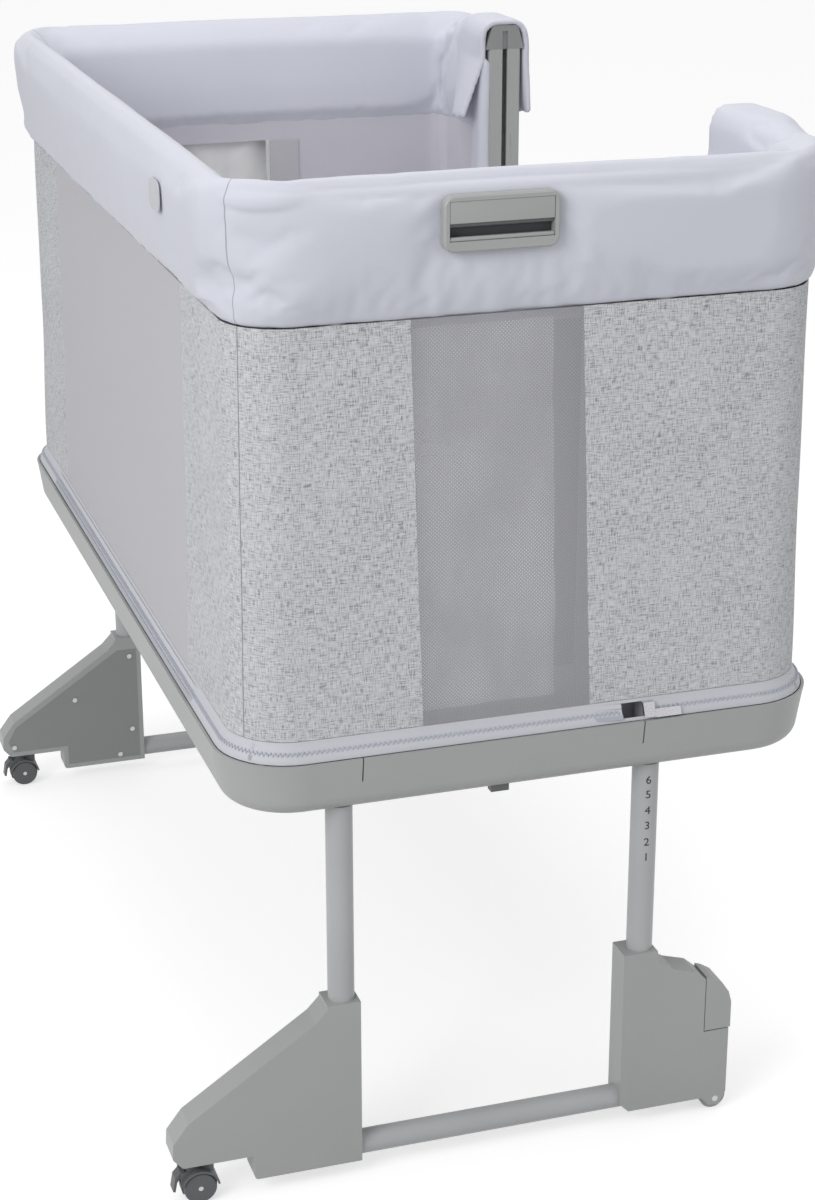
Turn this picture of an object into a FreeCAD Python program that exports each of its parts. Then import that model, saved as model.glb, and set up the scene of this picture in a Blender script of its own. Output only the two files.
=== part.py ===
import FreeCAD, Part
import math
import os
import re
import Sketcher

# Bedside sleeper crib in millimetres. +Z is up, +Y runs along the crib's length, +X points to the
# adult bed. The floor is Z = 0 and the origin is under the middle of the crib's outline.

os.makedirs("parts", exist_ok=True)
doc = FreeCAD.newDocument("bedside_crib")
sheet = doc.addObject("Spreadsheet::Sheet", "Sizes")

SIZES = {
    "tray_length": 1320, "tray_width": 738, "tray_offset": 42, "tray_floor": 495, "tray_lip": 562,
    "tray_corner": 90, "tray_draft": 10, "tray_roll": 22, "tray_wall": 3.5,
    "tray_groove_half": 172, "tray_groove_width": 1.6, "tray_groove_depth": 1.2,
    "post_spacing": 382, "post_inset": 38.4, "post_radius": 16, "post_wall": 1.5,
    "post_seat": 60, "post_top": 700, "slide_gap": 0.3, "seat_gap": 0.1, "bush_wall": 3.7,
    "bush_height": 34, "boss_wall": 3, "upright_gap": 0.4, "upright_foot": 560, "upright_wall": 1.5,
    "bar_radius": 15, "bar_height": 36, "bar_socket": 20,
    "foot_thickness": 38, "foot_sole": 21, "foot_round": 5,
    "toe_reach": 405, "toe_sole": 54, "toe_step": 306, "sleeve_top": 240, "sleeve_back": 213,
    "sleeve_front": 172, "slope_top": 219, "slope_neck": 228, "slope_foot": 113, "slope_toe": 385,
    "cover_inset": 7, "cover_plate": 2.4, "screw_radius": 4, "screw_head": 2,
    "bed_sleeve_near": 164, "bed_sleeve_far": 208, "bed_shoulder": 213, "bed_shoulder_far": 231,
    "bed_notch": 275, "bed_notch_top": 192, "bed_notch_floor": 117, "bed_edge": 309,
    "hub_position": 295, "hub_radius": 17, "cheek_width": 7, "arm_gap": 1, "pin_radius": 4,
    "pin_clearance": 0.05, "head_gap": 1.5, "head_front": 311, "head_top": 195,
    "swivel_position": 361, "caster_trail": 10.6, "wheel_radius": 20, "wheel_width": 9,
    "web_width": 12, "hood_wall": 2.5, "hood_gap": 1.5, "stem_radius": 5, "stem_length": 20,
    "axle_radius": 3, "pedal_reach": 404, "pedal_width": 16,
    "band_height": 24, "wall_waist": 800, "wall_seam": 1059, "wall_inset": 16, "waist_inset": 20,
    "seam_inset": 22, "linen_thickness": 1.8, "window_left": 102, "window_right": 94,
    "side_mesh_half": 391, "zip_inset": 4, "zip_thickness": 2.5, "zip_gap": 11,
    "rim_top": 1226, "rim_shoulder": 41, "rim_flare": -1, "hem_rise": 3, "lining_inset": 63,
    "rim_mid_inset": 58, "rim_crown_inset": 34, "rim_skin": 3, "rim_round": 10,
    "lining_side_inset": 44, "lining_thickness": 2.5, "rim_tube_radius": 9, "rim_tube_drop": 31,
    "rim_tube_inset": 20, "rim_tube_side": 18, "bed_opening_half": 405,
    "flap_lap": 8, "flap_fold": 8, "inner_window_left": 87, "inner_window_right": 105, "inner_window_sill": 620,
    "guide_position": 378, "guide_width": 50, "guide_depth": 24, "guide_drop": 40,
    "guide_wall": 3, "guide_foot": 26, "guide_slit": 8, "guide_lip": 4, "cap_height": 35, "cap_overhang": 5,
    "rail_rise": 39, "rail_radius": 9, "shoe_height": 40, "cover_height": 42, "cover_width": 34,
    "board_thickness": 6, "frame_tube_radius": 8, "mattress_end_gap": 67, "mattress_side_gap": 64,
    "mattress_height": 45, "mattress_round": 16,
    "handle_position": -15, "handle_width": 131, "handle_height": 61, "handle_drop": 61.5,
    "handle_round": 12, "handle_rim": 6, "handle_proud": 6, "handle_depth": 16, "grip_height": 16,
    "grip_travel": 8, "latch_width": 22, "latch_depth": 12, "latch_drop": 7, "latch_height": 16,
    "slider_left": 172, "slider_length": 14, "pull_length": 32,
}
for row, (name, number) in enumerate(SIZES.items(), start=1):
    sheet.set("A%d" % row, name)
    sheet.set("B%d" % row, str(number))
    sheet.setAlias("B%d" % row, name)
# Sizes that follow from the ones above.
DERIVED = {
    "leg_spacing": "=tray_length - 2 * post_inset",
    "wall_base": "=tray_lip + band_height",
    "rim_mid": "=rim_top - rim_shoulder",
    "rim_hem": "=wall_seam + hem_rise",
    "rim_tube_height": "=rim_top - rim_tube_drop",
    "guide_top": "=rim_top - guide_drop",
    "handle_middle": "=rim_top - handle_drop",
    "rail_height": "=tray_lip + rail_rise",
    "mattress_length": "=tray_length - 2 * mattress_end_gap",
    "mattress_width": "=tray_width - 2 * mattress_side_gap",
}
for row, (name, formula) in enumerate(DERIVED.items(), start=len(SIZES) + 1):
    sheet.set("A%d" % row, name)
    sheet.set("B%d" % row, formula)
    sheet.setAlias("B%d" % row, name)
doc.recompute()


def bound(text):
    """The expression with every size's name pointed at the sheet."""
    return re.sub(r"\b([a-z]+_[a-z_]+)\b", r"Sizes.\1", str(text))


def value(text):
    """The number that an expression of sizes has now."""
    return float(sheet.evalExpression(bound(text)))


def tie(item, **expressions):
    """Bind properties of an object to expressions of sizes."""
    for name, text in expressions.items():
        item.setExpression(name.replace("__", "."), bound(text))
    return item


def plane_of(body, role):
    return [part for part in body.Origin.OriginFeatures if part.Role == role][0]


def new_sketch(owner, name, role="XY_Plane", offset="0", turn=False):
    """A sketch on a plane of its body, or of the document when there is no body."""
    if owner is None:
        made = doc.addObject("Sketcher::SketchObject", name)
        tie(made, Placement__Base__z=offset)
        return made
    made = owner.newObject("Sketcher::SketchObject", name)
    made.AttachmentSupport = [(plane_of(owner, role), "")]
    made.MapMode = "FlatFace"
    tie(made, AttachmentOffset__Base__z=offset)
    return made


def pin_point(made, index, which, across, up):
    """Fix one end of one curve of a sketch at a place given by expressions."""
    for kind, text in (("DistanceX", across), ("DistanceY", up)):
        number = value(text)
        rule = made.addConstraint(Sketcher.Constraint(kind, -1, 1, index, which, number))
        made.setExpression("Constraints[%d]" % rule, bound(text))


def polygon(made, points):
    """A closed outline of straight edges through points given by expressions."""
    spots = [FreeCAD.Vector(value(across), value(up), 0) for across, up in points]
    first = made.GeometryCount
    count = len(spots)
    for index in range(count):
        edge = Part.LineSegment(spots[index], spots[(index + 1) % count])
        made.addGeometry(edge, False)
    for index in range(count):
        after = first + (index + 1) % count
        made.addConstraint(Sketcher.Constraint("Coincident", first + index, 2, after, 1))
    for index, (across, up) in enumerate(points):
        pin_point(made, first + index, 1, across, up)
    return made


def circle(made, across, up, radius):
    """A circle with its centre and radius given by expressions."""
    middle = FreeCAD.Vector(value(across), value(up), 0)
    index = made.addGeometry(Part.Circle(middle, FreeCAD.Vector(0, 0, 1), value(radius)), False)
    pin_point(made, index, 3, across, up)
    rule = made.addConstraint(Sketcher.Constraint("Radius", index, value(radius)))
    made.setExpression("Constraints[%d]" % rule, bound(radius))
    return made


def rounded(made, left, right, half, corner):
    """A rounded rectangle from left to right, as deep as half to each side."""
    x0, x1, y1, r = value(left), value(right), value(half), value(corner)
    vector = FreeCAD.Vector
    up = vector(0, 0, 1)
    sides = [
        (vector(x0 + r, -y1, 0), vector(x1 - r, -y1, 0)),
        (vector(x1, -y1 + r, 0), vector(x1, y1 - r, 0)),
        (vector(x1 - r, y1, 0), vector(x0 + r, y1, 0)),
        (vector(x0, y1 - r, 0), vector(x0, -y1 + r, 0)),
    ]
    middles = [(x1 - r, -y1 + r), (x1 - r, y1 - r), (x0 + r, y1 - r), (x0 + r, -y1 + r)]
    for start, end in sides:
        made.addGeometry(Part.LineSegment(start, end), False)
    for turn, (mx, my) in enumerate(middles):
        begin = math.pi * (turn - 1) / 2
        bend = Part.ArcOfCircle(Part.Circle(vector(mx, my, 0), up, r), begin, begin + math.pi / 2)
        made.addGeometry(bend, False)
    for turn in range(4):
        made.addConstraint(Sketcher.Constraint("Tangent", turn, 2, 4 + turn, 1))
        made.addConstraint(Sketcher.Constraint("Tangent", 4 + turn, 2, (turn + 1) % 4, 1))
    made.addConstraint(Sketcher.Constraint("Horizontal", 0))
    made.addConstraint(Sketcher.Constraint("Vertical", 1))
    made.addConstraint(Sketcher.Constraint("Horizontal", 2))
    made.addConstraint(Sketcher.Constraint("Vertical", 3))
    for turn in (5, 6, 7):
        made.addConstraint(Sketcher.Constraint("Equal", 4, turn))
    rules = [
        (Sketcher.Constraint("Radius", 4, r), corner),
        (Sketcher.Constraint("DistanceX", -1, 1, 3, 1, x0), left),
        (Sketcher.Constraint("DistanceX", -1, 1, 1, 1, x1), right),
        (Sketcher.Constraint("DistanceY", -1, 1, 2, 1, y1), half),
        (Sketcher.Constraint("DistanceY", -1, 1, 0, 1, -y1), "-(%s)" % half),
    ]
    for rule, text in rules:
        number = made.addConstraint(rule)
        made.setExpression("Constraints[%d]" % number, bound(text))
    return made


def new_body(label):
    made = doc.addObject("PartDesign::Body", label)
    made.Label = label
    return made


def pad(body, outline, length, both=True, back=False):
    """Raise a sketch into a solid, to both sides of its plane or to one."""
    made = body.newObject("PartDesign::Pad", outline.Name + "_pad")
    made.Profile = outline
    made.Midplane = both
    made.Reversed = back
    tie(made, Length=length)
    outline.Visibility = False
    return made


def pocket(body, outline, length, both=True, back=False):
    """Cut a sketch into the body's solid and make sure that it took something away."""
    doc.recompute()
    before = body.Shape.Volume
    made = body.newObject("PartDesign::Pocket", outline.Name + "_pocket")
    made.Profile = outline
    made.Midplane = both
    made.Reversed = back
    tie(made, Length=length)
    doc.recompute()
    if not body.Shape.Volume < before:
        raise ValueError("nothing was cut by " + made.Name)
    return made


def round_edges(body, radius, test):
    """Fillet the edges of the body's last feature that pass the test."""
    doc.recompute()
    base = body.Tip
    names = ["Edge%d" % (i + 1) for i, edge in enumerate(base.Shape.Edges) if test(edge)]
    if not names:
        raise ValueError("no edge to round on " + body.Label)
    made = body.newObject("PartDesign::Fillet", body.Name + "_round")
    made.Base = (base, names)
    tie(made, Radius=radius)
    doc.recompute()
    return made


def bevel_edges(body, width, test):
    """Chamfer the edges of the body's last feature that pass the test."""
    doc.recompute()
    base = body.Tip
    names = ["Edge%d" % (i + 1) for i, edge in enumerate(base.Shape.Edges) if test(edge)]
    made = body.newObject("PartDesign::Chamfer", body.Name + "_bevel")
    made.Base = (base, names)
    tie(made, Size=width)
    doc.recompute()
    return made


def along(edge, axis):
    """Whether a straight edge runs along an axis, 0 for X, 1 for Y and 2 for Z."""
    if not isinstance(edge.Curve, Part.Line):
        return False
    return abs(abs(edge.Curve.Direction[axis]) - 1) < 1e-6


def block(name, left, right, front, back, low, high):
    """A box between six planes given by expressions."""
    made = doc.addObject("Part::Box", name)
    spans = {"Length": (left, right), "Width": (front, back), "Height": (low, high)}
    for side, (begin, end) in spans.items():
        made.setExpression(side, bound("(%s) - (%s)" % (end, begin)))
    tie(made, Placement__Base__x=left, Placement__Base__y=front, Placement__Base__z=low)
    return made


def tube_solid(name, radius, base, length, across, along_y, axis="Z"):
    """A cylinder along Z or Y, from its foot's centre."""
    made = doc.addObject("Part::Cylinder", name)
    tie(made, Radius=radius, Height=length)
    if axis == "Y":
        made.Placement.Rotation = FreeCAD.Rotation(FreeCAD.Vector(1, 0, 0), -90)
    if axis == "X":
        made.Placement.Rotation = FreeCAD.Rotation(FreeCAD.Vector(0, 1, 0), 90)
    tie(made, Placement__Base__x=across, Placement__Base__y=along_y, Placement__Base__z=base)
    return made


def cut(name, base, *tools):
    """The base with the tools taken away, one after the other."""
    made = base
    for count, tool in enumerate(tools):
        less = doc.addObject("Part::Cut", name if count == len(tools) - 1 else name + "_less")
        less.Base = made
        less.Tool = tool
        made = less
    made.Label = name
    return made


def fuse(name, *pieces):
    made = doc.addObject("Part::MultiFuse", name)
    made.Shapes = list(pieces)
    made.Label = name
    return made


def common(name, *pieces):
    made = doc.addObject("Part::MultiCommon", name)
    made.Shapes = list(pieces)
    made.Label = name
    return made


def mirrored(name, source):
    """The far end's copy of a near piece."""
    made = doc.addObject("Part::Mirroring", name)
    made.Source = source
    made.Normal = (0, 1, 0)
    made.Base = (0, 0, 0)
    made.Label = name
    return made


def loft(name, sections):
    """A solid through rounded rectangles, each (height, side inset, end inset, bed inset, corner)."""
    made = doc.addObject("Part::Loft", name)
    outlines = []
    for count, (height, side, end, bed, corner) in enumerate(sections):
        outline = new_sketch(None, "%s_section%d" % (name, count), offset=height)
        left = "tray_offset - tray_width / 2 + (%s)" % side
        right = "tray_offset + tray_width / 2 - (%s)" % bed
        rounded(outline, left, right, "tray_length / 2 - (%s)" % end, corner)
        outlines.append(outline)
    made.Sections = outlines
    made.Solid = True
    made.Ruled = True
    return made


pieces = {}


def keep(made):
    """Put a finished piece in the list that is written out."""
    pieces[made.Label] = made
    return made


# The moulded tray: a drafted rounded rectangle with a rolled bottom edge, hollow, with a boss round
# each post's hole and two fine grooves at each end where its mouldings meet.
ENDS = (("near", -1), ("far", 1))
POSTS = (("left", -1), ("right", 1))


def tray_solid(name, inset, low, high, roll):
    """The tray's form, made smaller all round by an inset."""
    made = new_body(name)
    outline = new_sketch(made, name + "_outline", offset=high)
    left = "tray_offset - tray_width / 2 + %s" % inset
    right = "tray_offset + tray_width / 2 - %s" % inset
    rounded(outline, left, right, "tray_length / 2 - %s" % inset, "tray_corner - %s" % inset)
    wall = pad(made, outline, "%s - (%s)" % (high, low), both=False, back=True)
    tie(wall, TaperAngle="-atan(tray_draft / (tray_lip - tray_floor))")
    floor = value(low)
    round_edges(made, roll, lambda edge: edge.BoundBox.ZMax < floor + 0.01)
    return made


tray_outer = tray_solid("tray_outer", "0", "tray_floor", "tray_lip", "tray_roll")
tray_inner = tray_solid(
    "tray_inner", "tray_wall", "tray_floor + tray_wall", "tray_lip + 1", "tray_roll - tray_wall"
)
bush_outer = "post_radius + slide_gap + bush_wall"
bosses = []
holes = []
grooves = []
for end, sign in ENDS:
    for side, hand in POSTS:
        across = "%d * post_spacing / 2" % hand
        lengthwise = "%d * leg_spacing / 2" % sign
        boss = tube_solid(
            "boss_%s_%s" % (end, side), bush_outer + " + boss_wall", "tray_floor",
            "bush_height", across, lengthwise,
        )
        hole = tube_solid(
            "hole_%s_%s" % (end, side), bush_outer, "tray_floor - 5", "bush_height + 10", across, lengthwise
        )
        bosses.append(boss)
        holes.append(hole)
    for hand in (-1, 1):
        middle = "%d * tray_groove_half" % hand
        outer = "%d * tray_length / 2" % sign
        grooves.append(block(
            "groove_%s_%d" % (end, hand + 1), middle + " - tray_groove_width / 2",
            middle + " + tray_groove_width / 2", outer + " - tray_draft - tray_groove_depth" if sign > 0
            else outer + " - 5", outer + " + 5" if sign > 0 else outer + " + tray_draft + tray_groove_depth",
            "tray_lip - 30", "tray_lip + 5",
        ))
latch_slots = []
for end, sign in ENDS:
    place = "%d * (tray_length / 2 - tray_roll - tray_draft / 2)" % sign
    latch_slots.append(block(
        "latch_slot_%s" % end, "-latch_width / 2 - slide_gap", "latch_width / 2 + slide_gap",
        place + " - latch_depth / 2 - slide_gap", place + " + latch_depth / 2 + slide_gap",
        "tray_floor - 5", "tray_floor + 25",
    ))
tray_hollow = cut("tray_hollow", tray_inner, fuse("bosses", *bosses))
base_tray = cut("base_tray", tray_outer, tray_hollow, fuse("tray_cuts", *holes, *latch_slots, *grooves))
keep(base_tray)

# The bushes that the posts slide in, and the fixed inner tubes of the telescopic posts.
bush_rings = []
upright_radius = "post_radius - post_wall - upright_gap"
for end, sign in ENDS:
    uprights = []
    for side, hand in POSTS:
        across = "%d * post_spacing / 2" % hand
        lengthwise = "%d * leg_spacing / 2" % sign
        place = (across, lengthwise)
        name = "%s_%s" % (end, side)
        ring = tube_solid("ring_" + name, bush_outer, "tray_floor + 1", "bush_height - 1", *place)
        bore = tube_solid("bore_" + name, "post_radius + slide_gap", "tray_floor", "bush_height + 9", *place)
        bush_rings.append(cut("bush_" + name, ring, bore))
        top = ("rim_tube_height - sqrt(pow(rim_tube_radius + seat_gap; 2) - pow(tray_length / 2"
               " - rim_tube_inset - leg_spacing / 2 - (%s); 2)) - upright_foot" % upright_radius)
        rod = tube_solid("rod_" + name, upright_radius, "upright_foot", top, *place)
        core = tube_solid(
            "core_" + name, upright_radius + " - upright_wall", "upright_foot - 1", top + " + 2", *place
        )
        uprights.append(cut("upright_" + name, rod, core))
    keep(fuse(end + "_uprights", *uprights))
keep(fuse("post_bushes", *bush_rings))

# The leg frame of the near end. Its sketches lie in the plane of the posts; the far one mirrors it.
LEG_PLANE = "leg_spacing / 2"
near = {}


def profile_body(label, points, thickness, offset="0"):
    """A plate cut to an outline in the plane of the posts."""
    made = new_body(label)
    outline = new_sketch(made, label + "_outline", "XZ_Plane", LEG_PLANE + " + " + offset)
    polygon(outline, points)
    pad(made, outline, thickness)
    return made


def round_bore(body, name, across, up, radius, depth, role="XY_Plane", offset="0", back=False):
    """A round hole that starts in a plane of the body."""
    outline = new_sketch(body, name, role, offset)
    circle(outline, across, up, radius)
    return pocket(body, outline, depth, both=False, back=back)


outer_points = [
    ("-sleeve_back", "sleeve_top"), ("-sleeve_front", "sleeve_top"), ("-sleeve_front", "foot_sole"),
    ("-toe_step", "foot_sole"), ("-toe_step", "toe_sole"), ("-toe_reach + 12", "toe_sole"),
    ("-toe_reach", "toe_sole + 14"), ("-toe_reach + 1", "toe_sole + 34"),
    ("-slope_toe", "slope_foot"), ("-slope_neck", "slope_top"), ("-sleeve_back", "slope_top + 16"),
]
outer_foot = profile_body("near_outer_foot", outer_points, "foot_thickness")
round_edges(outer_foot, "foot_round", lambda edge: along(edge, 1)
            and edge.BoundBox.XMax < value("-sleeve_back - 1"))
cover_points = [
    ("-sleeve_back + 2", "slope_top"), ("-sleeve_front - cover_inset", "slope_top"),
    ("-sleeve_front - cover_inset", "foot_sole + cover_inset"),
    ("-toe_step + cover_inset", "foot_sole + cover_inset"),
    ("-toe_step + cover_inset", "toe_sole + cover_inset"),
    ("-toe_reach + cover_inset + 10", "toe_sole + cover_inset"),
    ("-toe_reach + cover_inset + 2", "toe_sole + 26"),
    ("-slope_toe + 2", "slope_foot - 9"), ("-slope_neck + 4", "slope_top - 9"),
]
recess = new_sketch(outer_foot, "cover_recess", "XZ_Plane", LEG_PLANE + " - foot_thickness / 2")
polygon(recess, cover_points)
pocket(outer_foot, recess, "cover_plate", both=False, back=True)
round_bore(outer_foot, "outer_post_bore", "-post_spacing / 2", "-leg_spacing / 2",
           "post_radius + seat_gap", "sleeve_top - post_seat", offset="sleeve_top")
round_bore(outer_foot, "outer_bar_socket", "-leg_spacing / 2", "bar_height",
           "bar_radius + seat_gap", "bar_socket", "YZ_Plane", "-sleeve_front")
round_bore(outer_foot, "stem_bore", "-swivel_position", "-leg_spacing / 2",
           "stem_radius + slide_gap", "stem_length + 1", offset="toe_sole", back=True)
near["outer_foot"] = outer_foot

outer_cover = profile_body("near_outer_cover", cover_points, "cover_plate - seat_gap",
                           "-foot_thickness / 2 + (cover_plate + seat_gap) / 2")
near["outer_cover"] = outer_cover
SCREWS = (
    ("-post_spacing / 2", "slope_top - 12"), ("-toe_step + 22", "slope_foot + 28"),
    ("-post_spacing / 2", "toe_sole + 24"), ("-toe_reach + 18", "toe_sole + 16"),
    ("-sleeve_back", "foot_sole + 14"),
)
screws = []
for count, (across, up) in enumerate(SCREWS):
    head = tube_solid("screw_head_%d" % count, "screw_radius", up, "screw_head", across,
                      "-leg_spacing / 2 + foot_thickness / 2 - seat_gap", "Y")
    screws.append(head)
near["foot_screws"] = fuse("near_foot_screws", *screws)

bed_points = [
    ("bed_sleeve_near", "sleeve_top + 3"), ("bed_sleeve_far", "sleeve_top + 3"),
    ("bed_sleeve_far + 4", "bed_shoulder + 12"), ("bed_shoulder_far", "bed_shoulder"),
    ("bed_notch - 14", "bed_shoulder - 9"), ("bed_notch", "bed_notch_top"),
    ("bed_notch", "bed_notch_floor"), ("bed_edge", "bed_notch_floor"),
    ("bed_edge", "hub_radius + hub_radius / 2"), ("bed_edge - 8", "hub_radius / 2"),
    ("hub_position - 8", "hub_radius / 2"), ("hub_position - 20", "foot_sole"),
    ("bed_sleeve_near + 12", "foot_sole"), ("bed_sleeve_near", "foot_sole + 12"),
]
bed_foot = profile_body("near_bed_foot", bed_points, "foot_thickness")
round_edges(bed_foot, "foot_round", lambda edge: along(edge, 1)
            and edge.BoundBox.ZMin > value("bed_notch_top + 5")
            and value("bed_sleeve_far + 1") < edge.BoundBox.XMin < value("bed_notch - 5"))
arm_slot = new_sketch(bed_foot, "arm_slot", "XZ_Plane", LEG_PLANE)
slot_points = [
    ("bed_notch + arm_gap / 2", "-5"), ("bed_edge + 9", "-5"), ("bed_edge + 9", "bed_notch_floor + 5"),
    ("bed_notch + arm_gap / 2", "bed_notch_floor + 5"),
]
polygon(arm_slot, slot_points)
pocket(bed_foot, arm_slot, "foot_thickness - 2 * cheek_width")
round_bore(bed_foot, "bed_post_bore", "post_spacing / 2", "-leg_spacing / 2",
           "post_radius + seat_gap", "sleeve_top + 3 - post_seat", offset="sleeve_top + 3")
round_bore(bed_foot, "bed_bar_socket", "-leg_spacing / 2", "bar_height",
           "bar_radius + seat_gap", "bar_socket", "YZ_Plane", "bed_sleeve_near", back=True)
pin_hole = new_sketch(bed_foot, "hub_pin_hole", "XZ_Plane", LEG_PLANE)
circle(pin_hole, "hub_position", "hub_radius", "pin_radius + seat_gap / 2")
pocket(bed_foot, pin_hole, "foot_thickness + 10")
near["bed_foot"] = bed_foot

# The arm that folds out of the bed-side foot: a hub on a pin, a flat arm and a full-width head.
stabiliser = new_body("near_stabiliser")
arm_width = "foot_thickness - 2 * cheek_width - 2 * arm_gap"
hub = new_sketch(stabiliser, "hub_outline", "XZ_Plane", LEG_PLANE)
circle(hub, "hub_position", "hub_radius", "hub_radius")
pad(stabiliser, hub, arm_width)
arm = new_sketch(stabiliser, "arm_outline", "XZ_Plane", LEG_PLANE)
polygon(arm, [
    ("hub_position - hub_radius + 2", "hub_radius"), ("bed_edge", "hub_radius"),
    ("bed_edge", "bed_notch_floor + head_gap + 5"),
    ("hub_position - hub_radius + 2", "bed_notch_floor + head_gap + 5"),
])
pad(stabiliser, arm, arm_width)
head = new_sketch(stabiliser, "head_outline", "XZ_Plane", LEG_PLANE)
polygon(head, [
    ("bed_notch + arm_gap", "bed_notch_floor + head_gap"), ("head_front", "bed_notch_floor + head_gap"),
    ("head_front", "head_top - 41"), ("head_front - 4", "head_top - 26"),
    ("head_front - 14", "head_top - 11"), ("head_front - 27", "head_top - 3"),
    ("bed_notch + arm_gap", "head_top"),
])
pad(stabiliser, head, "foot_thickness")
round_edges(stabiliser, "foot_round", lambda edge: along(edge, 1)
            and edge.BoundBox.ZMin > value("head_top - 45") and edge.BoundBox.XMin > value("bed_notch + 3"))
pin_bore = new_sketch(stabiliser, "hub_bore", "XZ_Plane", LEG_PLANE)
circle(pin_bore, "hub_position", "hub_radius", "pin_radius + pin_clearance")
pocket(stabiliser, pin_bore, "foot_thickness + 10")
near["stabiliser"] = stabiliser
near["stabiliser_pin"] = tube_solid(
    "near_stabiliser_pin", "pin_radius", "hub_radius", "foot_thickness", "hub_position",
    "-leg_spacing / 2 - foot_thickness / 2", "Y",
)

# Posts and crossbar.
for side, hand, top in (("left", -1, "post_top"), ("right", 1, "post_top")):
    across = "%d * post_spacing / 2" % hand
    rod = tube_solid("post_rod_" + side, "post_radius", "post_seat", top + " - post_seat", across,
                     "-leg_spacing / 2")
    core = tube_solid("post_core_" + side, "post_radius - post_wall", "post_seat - 5",
                      top + " - post_seat + 10", across, "-leg_spacing / 2")
    near["post_" + side] = cut("near_post_" + side, rod, core)
bar_length = "bed_sleeve_near + sleeve_front + 2 * bar_socket"
bar = tube_solid("bar_rod", "bar_radius", "bar_height", bar_length, "-sleeve_front - bar_socket",
                 "-leg_spacing / 2", "X")
bar_core = tube_solid("bar_core", "bar_radius - post_wall", "bar_height", bar_length + " + 10",
                      "-sleeve_front - bar_socket - 5", "-leg_spacing / 2", "X")
near["crossbar"] = cut("near_crossbar", bar, bar_core)

# The braked caster under the toe: a hood on a stem, twin wheels on one axle and a pedal.
CASTER_X = "-swivel_position - caster_trail"
hood_radius = "wheel_radius + hood_gap + hood_wall"
half_gap = "web_width / 2 + hood_gap / 3"
hood = new_body("caster_hood")
shell = new_sketch(hood, "hood_outline", "XZ_Plane", LEG_PLANE)
circle(shell, CASTER_X, "wheel_radius", hood_radius)
pad(hood, shell, "web_width + 2 * wheel_width + 3 * hood_gap")
hollow = new_sketch(hood, "hood_hollow", "XZ_Plane", LEG_PLANE)
circle(hollow, CASTER_X, "wheel_radius", "wheel_radius + hood_gap")
pocket(hood, hollow, "foot_thickness + 20")
below = new_sketch(hood, "hood_below", "XZ_Plane", LEG_PLANE)
polygon(below, [
    (CASTER_X + " - 40", "-10"), (CASTER_X + " + 40", "-10"), (CASTER_X + " + 40", "wheel_radius + 2"),
    (CASTER_X + " - 40", "wheel_radius + 8"),
])
pocket(hood, below, "foot_thickness + 20")
web = new_sketch(hood, "web_outline", "XZ_Plane", LEG_PLANE)
circle(web, CASTER_X, "wheel_radius", "wheel_radius + hood_gap + 0.5")
pad(hood, web, "web_width")
low_web = new_sketch(hood, "web_foot", "XZ_Plane", LEG_PLANE)
polygon(low_web, [
    (CASTER_X + " - 30", "-5"), (CASTER_X + " + 30", "-5"), (CASTER_X + " + 30", "wheel_radius / 2"),
    (CASTER_X + " - 30", "wheel_radius / 2"),
])
pocket(hood, low_web, "foot_thickness + 20")
collar = new_sketch(hood, "stem_collar", offset="wheel_radius * 2 - 4")
circle(collar, "-swivel_position", "-leg_spacing / 2", "stem_radius + 4")
pad(hood, collar, "toe_sole - wheel_radius * 2 + 4 - slide_gap", both=False)
stem = new_sketch(hood, "stem_outline", offset="toe_sole - 2")
circle(stem, "-swivel_position", "-leg_spacing / 2", "stem_radius")
pad(hood, stem, "stem_length", both=False)
axle_hole = new_sketch(hood, "axle_hole", "XZ_Plane", LEG_PLANE)
circle(axle_hole, CASTER_X, "wheel_radius", "axle_radius + seat_gap / 2")
pocket(hood, axle_hole, "foot_thickness + 20")
pedal_x = CASTER_X + " - (%s) * 0.76 - 0.4" % hood_radius
pedal_z = "wheel_radius + (%s) * 0.76 + 0.4" % hood_radius
ears = []
for sign in (-1, 1):
    middle = "-leg_spacing / 2 + %d * (pedal_width / 2 + 2)" % sign
    ear = block(
        "pedal_ear_%d" % (sign + 1), pedal_x + " - 4", pedal_x + " + 9", middle + " - 1.5", middle + " + 1.5",
        pedal_z + " - 9", pedal_z + " + 4",
    )
    ears.append(ear)
wheel_room = tube_solid("wheel_room", "wheel_radius + hood_gap", "wheel_radius", "foot_thickness + 20",
                        CASTER_X, "-leg_spacing / 2 - foot_thickness / 2 - 10", "Y")
ear_pair = cut("ear_pair", fuse("ear_blocks", *ears), wheel_room)
pin_room = tube_solid("pedal_pin_room", "pin_radius / 2 - 0.3 + pin_clearance", pedal_z,
                      "foot_thickness + 20", pedal_x, "-leg_spacing / 2 - foot_thickness / 2 - 10", "Y")
tyre_rooms = [
    tube_solid("near_tyre_room", "wheel_radius + hood_gap / 2", "wheel_radius", "foot_thickness / 2", CASTER_X,
               "-leg_spacing / 2 - web_width / 2 - seat_gap - foot_thickness / 2", "Y"),
    tube_solid("far_tyre_room", "wheel_radius + hood_gap / 2", "wheel_radius", "foot_thickness / 2", CASTER_X,
               "-leg_spacing / 2 + web_width / 2 + seat_gap", "Y"),
]
near["caster_hood"] = cut("near_caster_hood", fuse("hood_and_ears", hood, ear_pair), pin_room, *tyre_rooms)
near["caster_axle"] = tube_solid(
    "near_caster_axle", "axle_radius", "wheel_radius", "web_width + 2 * wheel_width + hood_gap",
    CASTER_X, "-leg_spacing / 2 - web_width / 2 - wheel_width - hood_gap / 2", "Y",
)
wheels = []
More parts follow.
